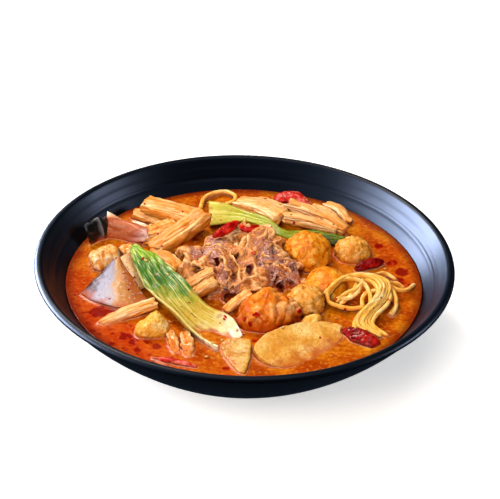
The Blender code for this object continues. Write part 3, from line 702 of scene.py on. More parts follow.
# %% Laying the slices
def beef_frills(count):
    """Small curls all over the heap: rays are shot at the solid, and a curl lies where each one lands."""
    dice = random.Random(11)
    solid = search_tree([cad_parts["beef"].data], MM)
    frills = Shape()
    done = 0
    while done < count:
        target = Vector((dice.uniform(-34, 34), dice.uniform(-22, 32), 50))
        way = Vector((dice.gauss(0, 0.5), dice.gauss(0.35, 0.5), -1)).normalized()
        spot, normal, _, _ = solid.ray_cast(target - way * 60, way)
        if spot is None or spot.z < 44.5 or normal.z < -0.1 or spread(GAPS, spot.x, spot.y) > 0.2:
            continue
        done += 1
        up_turned = done % 3 == 0
        spin = normal.to_track_quat("Z", "Y").to_matrix() @ Matrix.Rotation(dice.uniform(0, 6.3), 3, "Z")
        if up_turned:
            spin = spin @ Matrix.Rotation(math.pi, 3, "X")
        centre = spot + normal * (-0.6 if up_turned else 1.2)
        length, width = dice.uniform(11, 18), dice.uniform(8, 13)
        curl = dice.uniform(70, 130) if up_turned else dice.uniform(120, 260)
        frills.join(slice_of_beef(spin, centre, length, width, curl, 0.9, 1.5, dice.uniform(0, 90)))
    return frills


def make_beef():
    heap = skin("beef", voxel=0.6, rounds=6, relief=folds_of_meat)
    for number, (centre, length, width, turns, curl, ruffle, waves) in enumerate(SLICES):
        roll, pitch, heading = (math.radians(turn) for turn in turns)
        spin = Matrix.Rotation(heading, 3, "Z") @ Matrix.Rotation(pitch, 3, "Y")
        spin = spin @ Matrix.Rotation(roll, 3, "X")
        heap.join(slice_of_beef(spin, centre, length, width, curl, ruffle, waves, number * 1.7))
    return heap.join(beef_frills(FRILLS))


def finish_beef():
    """Fibres across the slice, patches of lean and fat, painted pale glints on the lean, painted shade in
    creases and gaps, and a painted highlight on ridges.
    """
    material, tree, shader = start_material(
        "boiled_beef", IOR=1.4, Subsurface_Weight=0.08, Subsurface_Radius=(1.0, 0.4, 0.25),
        Subsurface_Scale=2 * MM,
    )
    place, fat = own_place(tree)
    bend = add_node(tree, "NewGeometry", out="Pointiness")
    # Muscle fibres are a tenth of a millimetre thick, too fine to show: here are 1.1 to the millimetre.
    fibre = add_node(tree, "VectorMath", {0: place, 1: (0.3, 1.0, 1.0)}, operation="MULTIPLY")
    threads = add_node(tree, "TexNoise", {"Vector": fibre, "Scale": 1.1, "Detail": 4.0})
    patch = add_node(tree, "TexNoise", {"Vector": place, "Scale": 1 / 5, "Detail": 3.0})
    waver = add_node(tree, "MapRange", {0: patch, 1: 0.2, 2: 0.8, 3: -1.0, 4: 1.2})
    cut_tone = add_node(tree, "Math", {0: fat, 1: waver}, operation="ADD")
    share = add_node(tree, "MapRange", {0: cut_tone, 1: -3.4, 2: 1.6})
    # The ramp's dark low end is the painted shade of the valleys and gaps.
    colour = add_node(tree, "ValToRGB", {"Fac": share}, ramp=[
        (0.03, "300602"), (0.15, "74301e"), (0.28, "b4847a"), (0.42, "a85e44"), (0.58, "ba6a30"),
        (0.76, "e2923e"), (0.95, "fac488"),
    ])
    colour = coat(tree, colour, "6a2606", threads, 0.5, 0.36, 0.6)
    # Painted glints: pale specks brushed over the lean meat.
    speckle = add_node(tree, "TexNoise", {"Vector": place, "Scale": 1 / 0.9, "Detail": 2.0})
    glint = add_node(tree, "MapRange", {0: speckle, 1: 0.54, 2: 0.66, 3: 0.0, 4: 0.75})
    lean = add_node(tree, "MapRange", {0: fat, 1: 0.0, 2: -1.6, 3: 0.25, 4: 1.0})
    painted_glints = add_node(tree, "Math", {0: glint, 1: lean}, operation="MULTIPLY")
    colour = coat(tree, colour, "f8dccc", painted_glints, 0.0, 1.0, 1.0)
    # Painted shade in creases and gaps, where the gloss dims too, and a painted highlight on ridges.
    colour = coat(tree, colour, "5a1602", bend, 0.49, 0.43, 0.85)
    colour = coat(tree, colour, "f2bc80", bend, 0.53, 0.6, 0.6)
    colour = coat(tree, colour, "2c0602", fat, -2.2, -4.0, 1.0)
    shine = add_node(tree, "MapRange", {0: fat, 1: -2.2, 2: -3.28, 3: 0.5, 4: 0.03})
    tree.links.new(shine, shader.inputs["Specular IOR Level"])
    colour = soaked(tree, colour, hollow=0.95)
    connect(tree, shader, threads, 0.4, colour, (patch, 0.3, 0.7, 0.22, 0.5))
    return material


put("beef_slices", make_beef(), finish_beef(), "beef", "beef")

# %% [markdown]
# ## Noodles
# Boiled wheat noodles are smooth, slippery and a little translucent, about 3 mm thick. Each is a tube on a
# smooth route through a few points: over the fish ball, round in loops, and down into the broth.

# %% Noodles
NOODLE_RADIUS = 1.28
NOODLES = [
    [(46, -25, 48), (49, -22, 52), (55, -16, 54), (63, -11, 53.5), (73, -11, 52.5), (80, -16, 51.5),
     (79, -26, 49.5), (72, -37, 47), (68, -45, 45.5), (70, -50, 44), (78, -54, 42)],
    [(66, -10, 52), (74, -14, 53), (77, -22, 52), (73, -31, 50), (66, -40, 48), (63, -47, 46),
     (65, -51, 44.5), (71, -54, 43)],
    [(68, 0, 47), (67, -14, 52), (64, -22, 49), (59, -26, 47.5), (52, -26, 47)],
    [(64, -10, 52), (63, -18, 50), (60, -24, 48), (54, -29, 45)],
    [(67, -30, 44), (67, -25, 47), (70, -21, 48.5), (77, -21, 50.5)],
    [(78, -15, 51), (84, -13, 47.5), (88, -14, 46), (93, -12, 45), (98, -3, 43)],
    [(72, -10, 52), (77, 2, 46), (82, 6, 44), (88, 2, 42)],
    [(79, -15, 51), (84, -7, 46), (88, -6, 45), (92, -7, 42)],
    [(79, -20, 50.5), (84, -21, 46), (86, -26, 44), (82, -34, 42)],
    [(47, -24, 50), (48, -28, 46), (54, -30, 44.5), (60, -28, 42)],
]
LOOSE_NOODLES = [
    [(45, -24, 48), (51, -18, 51.5), (59, -15, 53.5), (67, -16, 52), (71, -23, 49), (71, -31, 46),
     (69, -38, 44)],
    [(52, -28, 46), (58, -23, 49), (64, -20, 50.5), (67, -12, 51)],
    [(74, -13, 52), (82, -21, 49), (81, -30, 47.5), (74, -40, 46), (72, -47, 44), (80, -55, 42)],
    [(76, -12, 52), (84, -18, 48.5), (86, -27, 45), (83, -35, 42)],
    [(53, -31, 45), (60, -32, 44.5), (66, -30, 44), (72, -27, 43)],
]
BACK_NOODLE = [
    (-28, 74, 44), (-26, 87, 44), (-19, 94, 44), (-12, 95, 44), (-7, 90, 44), (-8, 84, 44), (-13, 81, 43),
]


def noodle(route, seed):
    def ring(share, angle):
        radius = NOODLE_RADIUS * (1 + 0.07 * noise_at(share * 9, seed, angle * 0.4))
        end = min(1, (0.03 + min(share, 1 - share)) / 0.05)
        return radius * end * math.cos(angle), radius * end * math.sin(angle), 0.0

    return tube(route, ring, sides=14, step=0.9)


def beside(route, offset):
    """A strand that follows another one."""
    return [tuple(Vector(point) + Vector(offset)) for point in route]


followers = [
    beside(NOODLES[0], (1.9, 1.5, -0.5)), beside(NOODLES[0][3:], (-1.8, -1.6, 0.6)),
    beside(NOODLES[1], (2.0, 1.2, -0.3)), beside(NOODLES[1], (-1.6, -1.8, -0.8)),
]
noodles = Shape()
for number, route in enumerate(NOODLES + LOOSE_NOODLES + followers):
    noodles.join(noodle(route, number * 3.1))

# Gelled starch is smooth and wet, so its lights are sharp, and it lets light through.
boiled_noodle = cooked(
    "boiled_wheat_noodle", [(0.3, "f4a034"), (0.5, "fcc05a"), (0.7, "fedc94")], patch_mm=6, grain_mm=1.2,
    stretch=3, bump_mm=0.05, gloss=(0.12, 0.28), soft=0.25, shade="d87c1c", reach=1.2, hollow=0.75, film=0.25,
)
put("noodle_heap", noodles, boiled_noodle, "noodle", "noodles")
put("noodle_loop", noodle(BACK_NOODLE, 40), boiled_noodle, "noodle", "noodle_back")

# %% [markdown]
# ## Fish balls
# A fried fish ball is a springy paste with a knobbly, porous skin. Cell noise makes good knobs: the
# distance to the nearest of many scattered points is small in the middle of a knob, and a crack runs where
# the two nearest points are equally far. The balls come from their solids' boxes, so that each has its
# real place and size.

# %% Fish balls
def knobbly(seed, knob, cells=3.0):
    """A relief of knobs: knob is their height as a share of the radius, cells how many lie along it."""
    shift = Vector((seed * 5.3, seed * 2.9, seed * 7.1))

    def relief(way):
        lumps = 0.07 * noise.noise(way * 1.6 + shift) + 0.03 * noise.noise(way * 4 - shift)
        warped = way + noise.noise_vector(way * 3 + shift) * 0.12
        wide = noise.voronoi(warped * cells + shift)[0]
        small = noise.voronoi(warped * cells * 2.6 - shift)[0][0]
        crack = max(0, 1 - (wide[1] - wide[0]) / 0.22)
        pores = 0.012 * noise.noise(way * 24 + shift)
        return lumps + knob * (0.3 - wide[0] ** 1.6 - 0.35 * crack) + 0.4 * knob * (0.3 - small**1.5) + pores

    return relief


# Fried fish paste has a browned, porous crust: it scatters light and shines only where oil lies on it.
crust = dict(bump_mm=0.4, gloss=(0.25, 0.5))
fried_orange = cooked(
    "fried_fish_paste_orange", [(0.3, "cc5c02"), (0.44, "e8860a"), (0.57, "f2a01c"), (0.7, "f8c058")],
    patch_mm=4.5, grain_mm=1.1, specks=("9c4a06", 3.0, 0.13), shade="b85a04", **crust,
)
fried_pale = cooked(
    "fried_fish_paste_pale", [(0.3, "cc7410"), (0.44, "e6982e"), (0.57, "f0b050"), (0.7, "f8d08c")],
    patch_mm=3.6, grain_mm=1.0, specks=("985210", 2.8, 0.14), shade="bc6a10", **crust,
)
BALLS = {
    # name: finish, seed, height of the knobs
    "back": (fried_orange, 4, 0.1),
    "front": (fried_pale, 5, 0.1),
    "middle": (fried_orange, 6, 0.03),
    "right": (fried_pale, 7, 0.1),
}
for name, (material, seed, knob) in BALLS.items():
    node = "fish_ball_" + name
    put("fish_ball_skin_" + name, ball(node, knobbly(seed, knob)), material, "fish_ball", node)

# %% [markdown]
# ## Gluten, puffs and the fried pouch
# Wheat gluten and bean curd puff up in hot oil, then wrinkle as they soak. Their solids already have the
# true outline, so each gets a fine skin, and noise raises the wrinkles. The gluten's wrinkles are drawn
# out upright into pleats. The pouch has soaked up broth from its foot, so its tide mark reaches high.

# %% Puffed pieces
def craggy(depth, size, seed, tall=1.0):
    """Wrinkles of about that depth and size in mm; tall draws them out upright, into pleats."""

    def relief(local):
        place = Vector((local.x, local.y, local.z / tall)) / size + Vector((seed, seed * 2, seed * 3))
        crease = 1 - abs(noise.noise(place)) * 2
        lift = noise.noise(place * 0.6) + 0.5 * noise.noise(place * 2) - 0.5 * max(0, crease) ** 3
        return depth * lift, 0.0

    return relief


# Gluten is spongy: light goes deep and comes out pale, under a wet film.
fried_gluten = cooked(
    "fried_wheat_gluten", [(0.32, "d88424"), (0.44, "ecac58"), (0.56, "f4ce98"), (0.7, "fce6c4")],
    patch_mm=4, grain_mm=1.6, bump_mm=0.25, gloss=(0.15, 0.35), soft=0.3, shade="cc741c", reach=2.5,
    hollow=0.6,
)
# A bean curd puff has an open, drier crust, so its gloss is broader.
fried_puff = cooked(
    "fried_bean_curd_puff", [(0.32, "e8a030"), (0.46, "f6b648"), (0.58, "fccc74"), (0.7, "fee6a8")],
    patch_mm=5, grain_mm=1.3, bump_mm=0.3, gloss=(0.35, 0.55), soft=0.25, shade="d88c28", reach=1.5,
    hollow=0.5,
)
PUFFED = ["fried_gluten_left", "fried_gluten_back", "fried_puff_front", "fried_puff_right"]
for number, node in enumerate(PUFFED):
    gluten = "gluten" in node
    wrinkles = craggy(1.9, 5.6, number * 4.0, tall=3.0) if gluten else craggy(0.7, 3.6, number * 4.0)
    shape = skin(node, rounds=14, subdivide=1, relief=wrinkles)
    put(node + "_skin", shape, fried_gluten if gluten else fried_puff, "fish_ball", node)

# %% The pouch
# Soaked bean curd skin is leathery and wet: orange where it is thin, dark red where broth fills it.
soaked_pouch = cooked(
    "fried_bean_curd_skin", [(0.3, "dc6008"), (0.42, "f2861a"), (0.54, "faa644"), (0.68, "fecc88")],
    patch_mm=9, grain_mm=3, bump_mm=0.25, gloss=(0.15, 0.35), shade="c85608", soft=0.2, reach=13,
    stain="a02802", film=0.25,
)
pouch = skin("tofu_pouch", rounds=12, subdivide=1, relief=craggy(1.6, 5.5, 8.0, tall=1.6))
put("tofu_pouch_skin", pouch, soaked_pouch, "pouch", "tofu_pouch")

# %% [markdown]
# ## Dried bean curd sticks
# Bean curd skin is gathered into ropes and dried, then soaked and sliced. A stick shows folds along its
# length, like a furled umbrella: pale gold on the ridges, with deep orange shade painted in the grooves. Its
# section is a flat oval, creased where a noise round it crosses zero. The noise changes slowly along the
# stick, so the creases wander, fork and fade. Some sticks have hardly soaked and are paler. The two strips
# of cabbage are fibrous in the same way, so the same rule makes them.

# %% Bean curd sticks
def furled(width, thick, folds, depth=0.2, ends=0.88, seed=0.0, crinkle=0.12):
    """The section of a furled rope of skin: a flat oval with creases where a noise round the section
    crosses zero, so they wander, fork and fade along the stick. The tone marks the creases, where the
    finish paints shade."""

    def ring(share, angle):
        size = ends + (1 - ends) * math.sin(math.pi * share) ** 0.5
        around = Vector((math.cos(angle), math.sin(angle), 0)) * folds / 4
        wide = noise.noise(around + Vector((seed, -seed, share * 1.6)))
        close = noise.noise(around * 2.6 + Vector((-seed, seed, share * 2.6)))
        groove = max(0, 1 - 5 * abs(wide)) ** 1.5
        fine = max(0, 1 - 4 * abs(close)) ** 1.5
        swell = size * (1 + 0.2 * depth - 0.8 * depth * groove - 0.4 * depth * fine + 0.8 * depth * wide)
        swell *= 1 + crinkle * noise_at(share * 8, angle * 1.5, seed)
        across = math.copysign(abs(math.cos(angle)) ** 0.75, math.cos(angle))
        over = math.copysign(abs(math.sin(angle)) ** 0.75, math.sin(angle))
        return width / 2 * across * swell, thick / 2 * over * swell, min(1, 0.9 * groove + 0.55 * fine)

    return ring


STICKS = {
    # name of the solid: route, width, thickness, and settings of the section
    "curd_stick_diagonal": ([(-54, 20, 47.5), (-38, 31, 53), (-24, 43, 58)], 13, 9, dict(folds=9)),
    "curd_stick_back_left": (
        [(-61, 67, 50), (-44, 59, 50), (-27, 49, 51)], 16, 8, dict(folds=12, depth=0.14)
    ),
    "curd_stick_centre_back": ([(-33, -18, 47), (-18, -9, 52)], 7, 6, dict(folds=5)),
    "curd_stick_centre_front": ([(-29, -26, 47), (-16, -18, 51)], 7, 6, dict(folds=5)),
    "curd_shreds": ([(-56, 14, 47), (-47, 9, 48.5), (-38, 0, 47)], 9, 6, dict(folds=9, depth=0.35)),
    "curd_stick_lower_left": ([(-68, 66, 44), (-58, 61, 44), (-48, 56, 43.5)], 8, 6, dict(folds=5)),
    "curd_wrinkled": ([(-61, 37, 45), (-52, 41, 47), (-42, 47, 47.5)], 13, 8, dict(folds=9, crinkle=0.3)),
    "curd_stick_back_middle": ([(-4, 82, 44), (10, 71, 47), (22, 59, 48)], 14, 8, dict(folds=12, depth=0.16)),
    "curd_stick_back_thin": ([(9, 88, 43), (18, 79, 45), (28, 67, 46)], 5, 5, dict(folds=4)),
    "curd_stick_right_upper": ([(26, 70, 50), (42, 62, 49), (60, 50, 45)], 10, 8, dict(folds=9, depth=0.4)),
    "curd_stick_right_lower": (
        [(23, 57, 50), (38, 54.5, 48.5), (55, 48.5, 46)], 8, 6, dict(folds=8, depth=0.4)
    ),
    "curd_stick_far_left": ([(41, 79, 44), (49, 71, 45), (56, 62, 43)], 7, 6, dict(folds=4)),
    "curd_stick_far_right": ([(50, 82, 44), (57, 74, 45), (63, 65, 42)], 7, 6, dict(folds=4)),
    "curd_stick_front_left": ([(-78, -48, 40), (-64, -41, 44), (-49, -34, 46)], 8, 6, dict(folds=4)),
    "cabbage_strip_left": (
        [(-40, -57, 43.5), (-38, -66, 43.4), (-35, -76, 41)], 5, 3, dict(folds=3, ends=0.5, crinkle=0.4)
    ),
    "cabbage_strip_right": (
        [(-32, -58, 43.5), (-30, -67, 43.8), (-28, -79, 41)], 6.5, 3, dict(folds=4, ends=0.5, crinkle=0.4)
    ),
}
PALE_STICKS = (
    "back_middle", "back_thin", "right_upper", "right_lower", "far_left", "far_right", "front_left",
)
print(f"{len(STICKS)} sticks and strips, {len(PALE_STICKS)} of them pale")

# %% Finishes and meshes of the sticks
# Bean curd skin is protein and oil in thin layers: satin and pale on its ridges, with amber shade
# painted in its folds.
layers = dict(patch_mm=3.5, grain_mm=0.9, stretch=9, bump_mm=0.25, gloss=(0.25, 0.45), soft=0.25)
bean_curd = cooked(
    "soaked_bean_curd_skin", [(0.28, "d87816"), (0.4, "e68c2c"), (0.52, "f0a850"), (0.66, "fad092")],
    shade="cc7820", hollow=0.55, stain="c45e06", **layers,
)
pale_curd = cooked(
    "pale_bean_curd_skin", [(0.28, "dc8830"), (0.4, "eca04e"), (0.52, "f6c07c"), (0.66, "fee0b4")],
    shade="d88a34", hollow=0.5, stain="cc6a08", **layers,
)
# Boiled cabbage is full of water: glossy and translucent, with stained fibres.
boiled_cabbage = cooked(
    "boiled_cabbage", [(0.3, "c45c0c"), (0.45, "e08028"), (0.58, "f0b068"), (0.72, "fae4c0")], patch_mm=3,
    grain_mm=1.6, stretch=6, bump_mm=0.2, gloss=(0.15, 0.35), soft=0.3, shade="cc7018", reach=2.5,
    hollow=0.6, stain="cc6410",
)
for number, (node, (route, width, thick, settings)) in enumerate(STICKS.items()):
    ring = furled(width, thick, seed=number * 2.3, **settings)
    shape = tube(route, ring, sides=72, step=0.8, ragged=3.2, seed=number)
    material = pale_curd if node.endswith(PALE_STICKS) else bean_curd
    if "cabbage" in node:
        material = boiled_cabbage
    put(node + "_folds", shape, material, "bean_curd_stick", node)

narrow = furled(6, 4, folds=4, crinkle=0.2)
strip = tube([(-10, -36, 43), (-5, -32, 46), (3, -25, 49)], narrow, sides=24, step=0.8)
put("curd_strip_centre_folds", strip, bean_curd, "pouch", "curd_strip_centre")

# %% [markdown]
# ## Fish cake
# Fish cake is sliced from a steamed and fried loaf: a tan, close-grained face with tiny air holes and
# brown specks. The slices keep their solids' outline, with the sawn edge rounded by smoothing.

# %% Fish cake
# Steamed fish paste is dense and even, so its gloss is low and broad. The thin slice lets the broth through.
fish_cake = cooked(
    "steamed_fish_cake", [(0.3, "c87c1c"), (0.44, "da9c3a"), (0.56, "e6b45c"), (0.7, "eccc82")],
    patch_mm=10, grain_mm=0.9, bump_mm=0.12, gloss=(0.35, 0.5), specks=("9a5416", 2.6, 0.14), soft=0.1,
    shade="bc7c2a", reach=2,
)
thin_cake = cooked(
    "thin_fish_cake", [(0.3, "a86810"), (0.45, "bc8620"), (0.6, "cca248"), (0.72, "dec484")], patch_mm=7,
    grain_mm=1.2, bump_mm=0.12, gloss=(0.25, 0.45), soft=0.3, shade="b0701c", reach=2, stain="c07020",
)
CAKES = {"fish_cake_large": fish_cake, "fish_cake_small": thin_cake}
for number, (node, material) in enumerate(CAKES.items()):
    shape = skin(node, voxel=0.45, rounds=14, relief=craggy(0.35, 4.0, number * 3.0))
    put(node + "_slice", shape, material, "fish_cake", node)

# %% [markdown]
# ## Greens
# The front leaf is a young green with a broad, pale stem. Its blade is dark green and blistered between
# pale veins, and the veins run together into the ribs of the stem, which ends in a white foot. Each leaf
# is a sheet between two edges. Tone runs from 0 at its tip to 1 at its foot, and carries the colours.

# %% Leaves
def leaf_relief(place, u, v, ribs, seed):
    """Raises ribs along a stem and blisters in a blade."""
    stem = clamp((u - 0.25) / 0.4)
    rib = abs(math.sin(math.pi * ribs * v + 0.5 * noise_at(u * 2, 0, seed)))
    blister = noise_at(u * 14, v * 9, seed)
    place.z += stem * 0.7 * rib + (1 - stem) * 1.1 * blister
    return place


def front_leaf():
    left = [(-66, 5, 54), (-59, -17, 51.5), (-45, -38, 48), (-27, -60, 44.5), (-13, -73, 43.3)]
    right = [(-64, 9, 55), (-50, 1, 55.5), (-37, -17, 54), (-22, -38, 51), (-7, -48, 48), (0, -61, 43.5)]
    surface = between(left, right, [(0, 0, 3), (-3, -2, -9)], ruffle=1.2)

    def ribbed(u, v):
        place = leaf_relief(surface(u, v), u, v, 6, 3.0)
        hem = abs(2 * v - 1) ** 4 * max(0, 1 - u * 2.2)
        place.z += 1.3 * hem * math.sin(38 * u + 9 * v)
        place.z += 2.2 * math.exp(-((v / 0.08) ** 2)) * clamp((u - 0.35) / 0.3)
        lobe = 0.35 * max(0, v - 0.4) * clamp((0.72 - u) / 0.2)
        return place, u - lobe

    return sheet(ribbed, (104, 34), 1.8, 150, 56, rim=0.4, taper=2.5)


def back_leaf():
    far = [(-23, 76, 48), (-6, 69, 48.5), (14, 53, 49.5), (24, 43, 48.5), (44, 46, 46), (60, 42, 43.5)]
    close = [(-22, 52, 44.5), (-5, 57, 46), (14, 45, 47.5), (24, 37, 47), (46, 37.5, 43.5), (61, 38, 42)]
    surface = between(far, close, [(0, 0, -3), (0, 0, 3)], ruffle=0.8, waves=3)

    def ribbed(u, v):
        return leaf_relief(surface(u, v), 1 - u, v, 4, 8.0), 1 - u

    return sheet(ribbed, (98, 20), 1.8, 120, 34, rim=0.4, taper=2.5)


# %% [markdown]
# A leaf's finish is a ramp of colours from tip to foot, with waxy skin over it: even, fairly sharp lights.
# Light that passes a leaf comes out green, so the green part of it is scattered farthest.

# %% Greens
def finish_greens(name, flesh, vein, dark="1f4a04"):
    """A leaf from tip to foot: flesh is a ramp of colours along its tone. Dark blisters lie between the pale
    veins, which run lengthwise, and a painted highlight runs along the hem on one side."""
    material, tree, shader = start_material(
        name, IOR=1.4, Subsurface_Weight=0.1, Subsurface_Radius=(0.5, 1.0, 0.2), Subsurface_Scale=2 * MM
    )
    place, along = own_place(tree)
    across = add_node(tree, "SeparateXYZ", {0: place}, out="Y")
    drawn = add_node(tree, "VectorMath", {0: place, 1: (0.05, 1, 1)}, operation="MULTIPLY")
    streaks = add_node(tree, "TexNoise", {"Vector": drawn, "Scale": 0.85, "Detail": 3.0})
    patch = add_node(tree, "TexNoise", {"Vector": place, "Scale": 1 / 5, "Detail": 3.0})
    waver = add_node(tree, "MapRange", {0: patch, 1: 0.0, 2: 1.0, 3: -0.16, 4: 0.16})
    place_along = add_node(tree, "Math", {0: along, 1: waver}, operation="ADD")
    colour = add_node(tree, "ValToRGB", {"Fac": place_along}, ramp=flesh)
    blade = add_node(tree, "MapRange", {0: place_along, 1: 0.55, 2: 0.3, 3: 0.0, 4: 0.8})
    hollow = add_node(tree, "MapRange", {0: streaks, 1: 0.5, 2: 0.42, 3: 0.0, 4: 1.0})
    between_veins = add_node(tree, "Math", {0: hollow, 1: blade}, operation="MULTIPLY")
    colour = coat(tree, colour, dark, between_veins, 0.0, 1.0, 1.0)
    colour = coat(tree, colour, vein, streaks, 0.54, 0.6, 0.5)
    # A painted highlight along the hem on one side, in the vein's pale colour.
    colour = coat(tree, colour, vein, across, 2.2, 0.8, 0.55)
    colour = coat(tree, colour, "a86414", patch, 0.6, 0.72, 0.6)
    colour = soaked(tree, colour, reach=1.2)
    connect(tree, shader, streaks, 0.5, colour, (patch, 0.3, 0.7, 0.18, 0.4))
    return material


front_green = finish_greens("boiled_green_front", [
    (0.0, "94c424"), (0.14, "34780a"), (0.34, "50800a"), (0.46, "a29a20"), (0.6, "b4942a"), (0.74, "c8a83e"),
    (0.86, "dfd09c"), (0.95, "f8ecdf"),
], "e4d884")
back_green = finish_greens("boiled_green_back", [
    (0.0, "183a06"), (0.2, "285806"), (0.36, "7c8e08"), (0.7, "a2a616"), (1.0, "ccb844"),
], "bcbe3c", "70840c")
put("front_leaf", front_leaf(), front_green, "greens", "greens_front")
put("back_leaf", back_leaf(), back_green, "greens", "greens_back")

# %% [markdown]
# ## Starch sheets, ham and wood ear
# Glass sheets are wide noodles of potato starch, a clear gel: they look lavender where they face the cold
# sky and amber where the broth shows through. Boiled ham is pink muscle with a pale edge, browned where
# broth has soaked in. Wood ear is a black, frilled fungus with a thin gloss. All are thin sheets between
# two edges, and a ramp colours each from edge to edge. The cold lamps light only the bowl here, so the
# lavender sheen and the fungus's grey one are drawn into the ramps.

# %% Thin sheets
def thin(left, right, bulge, size, thickness, ruffle=0.4, wobble=0.8, seed=0.0, lengthwise=0.0):
    """A thin sheet between two edges. Its tone runs across it, or lengthwise by that share."""
    surface = between(left, right, bulge, ruffle=ruffle)

    def wavy(u, v):
        place = surface(u, v)
        place += noise.noise_vector(Vector((u * 3, v * 3, seed))) * wobble
        return place, v + (u - v) * lengthwise

    return sheet(wavy, size, thickness, round(size[0] * 1.4), round(size[1] * 1.4), rim=0.35, taper=1.5)


def finish_sheet(name, ramp, specks, roughness, stretch=4.0, waver=0.3, glints=0.5):
    """A wet sheet: a ramp of colours across it, blurred by patches, with pale glints and dark specks."""
    material, tree, shader = start_material(
        name, IOR=1.42, Roughness=roughness, Specular_IOR_Level=0.35, Subsurface_Weight=0.2,
        Subsurface_Scale=3 * MM,
    )
    place, across = own_place(tree)
    drawn = add_node(tree, "VectorMath", {0: place, 1: (1 / stretch, 1, 1)}, operation="MULTIPLY")
    patch = add_node(tree, "TexNoise", {"Vector": drawn, "Scale": 1 / 4, "Detail": 4.0})
    shift = add_node(tree, "MapRange", {0: patch, 1: 0.0, 2: 1.0, 3: -waver, 4: waver})
    tone = add_node(tree, "Math", {0: across, 1: shift}, operation="ADD")
    colour = add_node(tree, "ValToRGB", {"Fac": tone}, ramp=ramp)
    fleck = add_node(tree, "TexNoise", {"Vector": place, "Scale": 1 / 1.8, "Detail": 4.0})
    colour = coat(tree, colour, "f0ecf4", fleck, 0.55, 0.7, glints)
    cells = add_node(tree, "TexVoronoi", {"Vector": place, "Scale": 1 / 3.2})
    colour = coat(tree, colour, specks, cells, 0.2, 0.1, 0.7)
    connect(tree, shader, patch, 0.3, soaked(tree, colour))
    return material


# %% Starch sheets
starch = finish_sheet("potato_starch_sheet", [
    (0.0, "4c2410"), (0.08, "746474"), (0.2, "a4a4be"), (0.42, "b0a8b8"), (0.56, "c49868"), (0.7, "b07024"),
    (0.92, "984804"),
], "4a3c48", 0.42, stretch=1.4, waver=0.22, glints=0.25)
stained_starch = finish_sheet("potato_starch_sheet_stained", [
    (0.0, "dcc098"), (0.4, "c49c68"), (0.8, "b48048"), (1.0, "d8b888"),
], "8a5020", 0.45)
front_sheet = thin(
    [(-76, -2, 53.5), (-83, -11, 49), (-92, -21, 42.5)], [(-72, 2, 52.5), (-63, -14, 48), (-52, -29, 43)],
    [(0, -1, 0), (0, -9, 0)], (34, 36), 1.1,
)
put("glass_sheet_near", front_sheet, starch, "glass_sheet", "glass_sheet_front")
back_sheet = thin(
    [(-73, 3, 50.5), (-67, -9, 47.5), (-61, -22, 43.5)], [(-64, 8, 51), (-60, -3, 47.5), (-55, -15, 43.5)],
    [(0, 1, 1), (0, 1, 1)], (26, 10), 1.1, seed=4.0,
)
put("glass_sheet_far", back_sheet, stained_starch, "glass_sheet", "glass_sheet_back")

# %% Ham
ham = finish_sheet("boiled_ham", [
    (0.0, "f8e8d0"), (0.14, "d49060"), (0.26, "a84a1c"), (0.46, "bc6a40"), (0.62, "ac5838"), (0.78, "cc9890"),
    (0.96, "e8c8c4"),
], "7a2808", 0.38, stretch=6, waver=0.4, glints=0.12)
ham_slice = thin(
    [(-83, 49, 55), (-73, 46, 51), (-58, 40, 49)], [(-84, 42, 40), (-72, 39, 41), (-57, 32, 44)],
    [(0, -3, 1), (0, -2, 3)], (28, 15), 1.6, ruffle=0.8, wobble=1.2, seed=7.0, lengthwise=0.55,
)
put("ham_slice_sheet", ham_slice, ham, "ham", "ham_slice")
put("ham_strip_skin", skin("ham_strip", rounds=8, subdivide=1), ham, "ham", "ham_strip")

# %% Wood ear
fungus = finish_sheet("wood_ear", [
    (0.0, "08090b"), (0.5, "0c0d10"), (0.58, "505458"), (0.64, "7c8086"), (0.7, "141416"), (0.85, "0c0a0a"),
    (1.0, "402818"),
], "050404", 0.34, stretch=1.0, waver=0.12, glints=0.05)
ear = thin(
    [(-96, 34, 53), (-90, 40, 55), (-84, 45, 54)], [(-93, 33, 40), (-88, 37, 39), (-83, 42, 39)],
    [(2, -2, 0), (2, -2, 0)], (16, 15), 1.2, ruffle=0.6, wobble=1.4, seed=11.0, lengthwise=1.0,
)
put("wood_ear_sheet", ear, fungus, "wood_ear", "wood_ear")

# %% [markdown]
# ## Dried chillies
# A dried chilli is a crinkled, leathery pod. Boiled in oil it turns a deep, glossy red. The pods keep
# their solids' outline and get sharp creases. Their skin is a waxy layer over deep red, so they look dark
# with small, sharp lights. Pods that have soaked for longer are brighter or have faded.

# %% Chillies
leathery = dict(patch_mm=6, grain_mm=1.6, reach=1, film=0.2)
dried_chilli = cooked(
    "dried_chilli_pod", [(0.3, "5c0406"), (0.5, "8c0a08"), (0.66, "bc1c10")], bump_mm=0.15,
    gloss=(0.15, 0.3), shade="3c0202", soft=0.05, **leathery,
)
bright_chilli = cooked(
    "soaked_chilli_pod", [(0.3, "8a0402"), (0.5, "b80c04"), (0.66, "e03018")], bump_mm=0.1,
    gloss=(0.2, 0.4), shade="5a0302", soft=0.1, **leathery,
)
faded_chilli = cooked(
    "faded_chilli_pod", [(0.3, "a80c06"), (0.5, "c82c20"), (0.66, "e47060")], bump_mm=0.2,
    gloss=(0.15, 0.35), shade="7b0702", soft=0.15, **{**leathery, "patch_mm": 4},
)
PODS = {
    "top": bright_chilli,
    "top_bent": bright_chilli,
    "right": dried_chilli,
    "front_right": dried_chilli,
    "front_left": faded_chilli,
    "back": faded_chilli,
}
for number, (name, material) in enumerate(PODS.items()):
    node = "chilli_" + name
    pod = skin(node, voxel=0.35, rounds=14, subdivide=1, relief=craggy(0.45, 4.0, number * 5.0))
    put(node + "_pod", pod, material, "chilli", node)

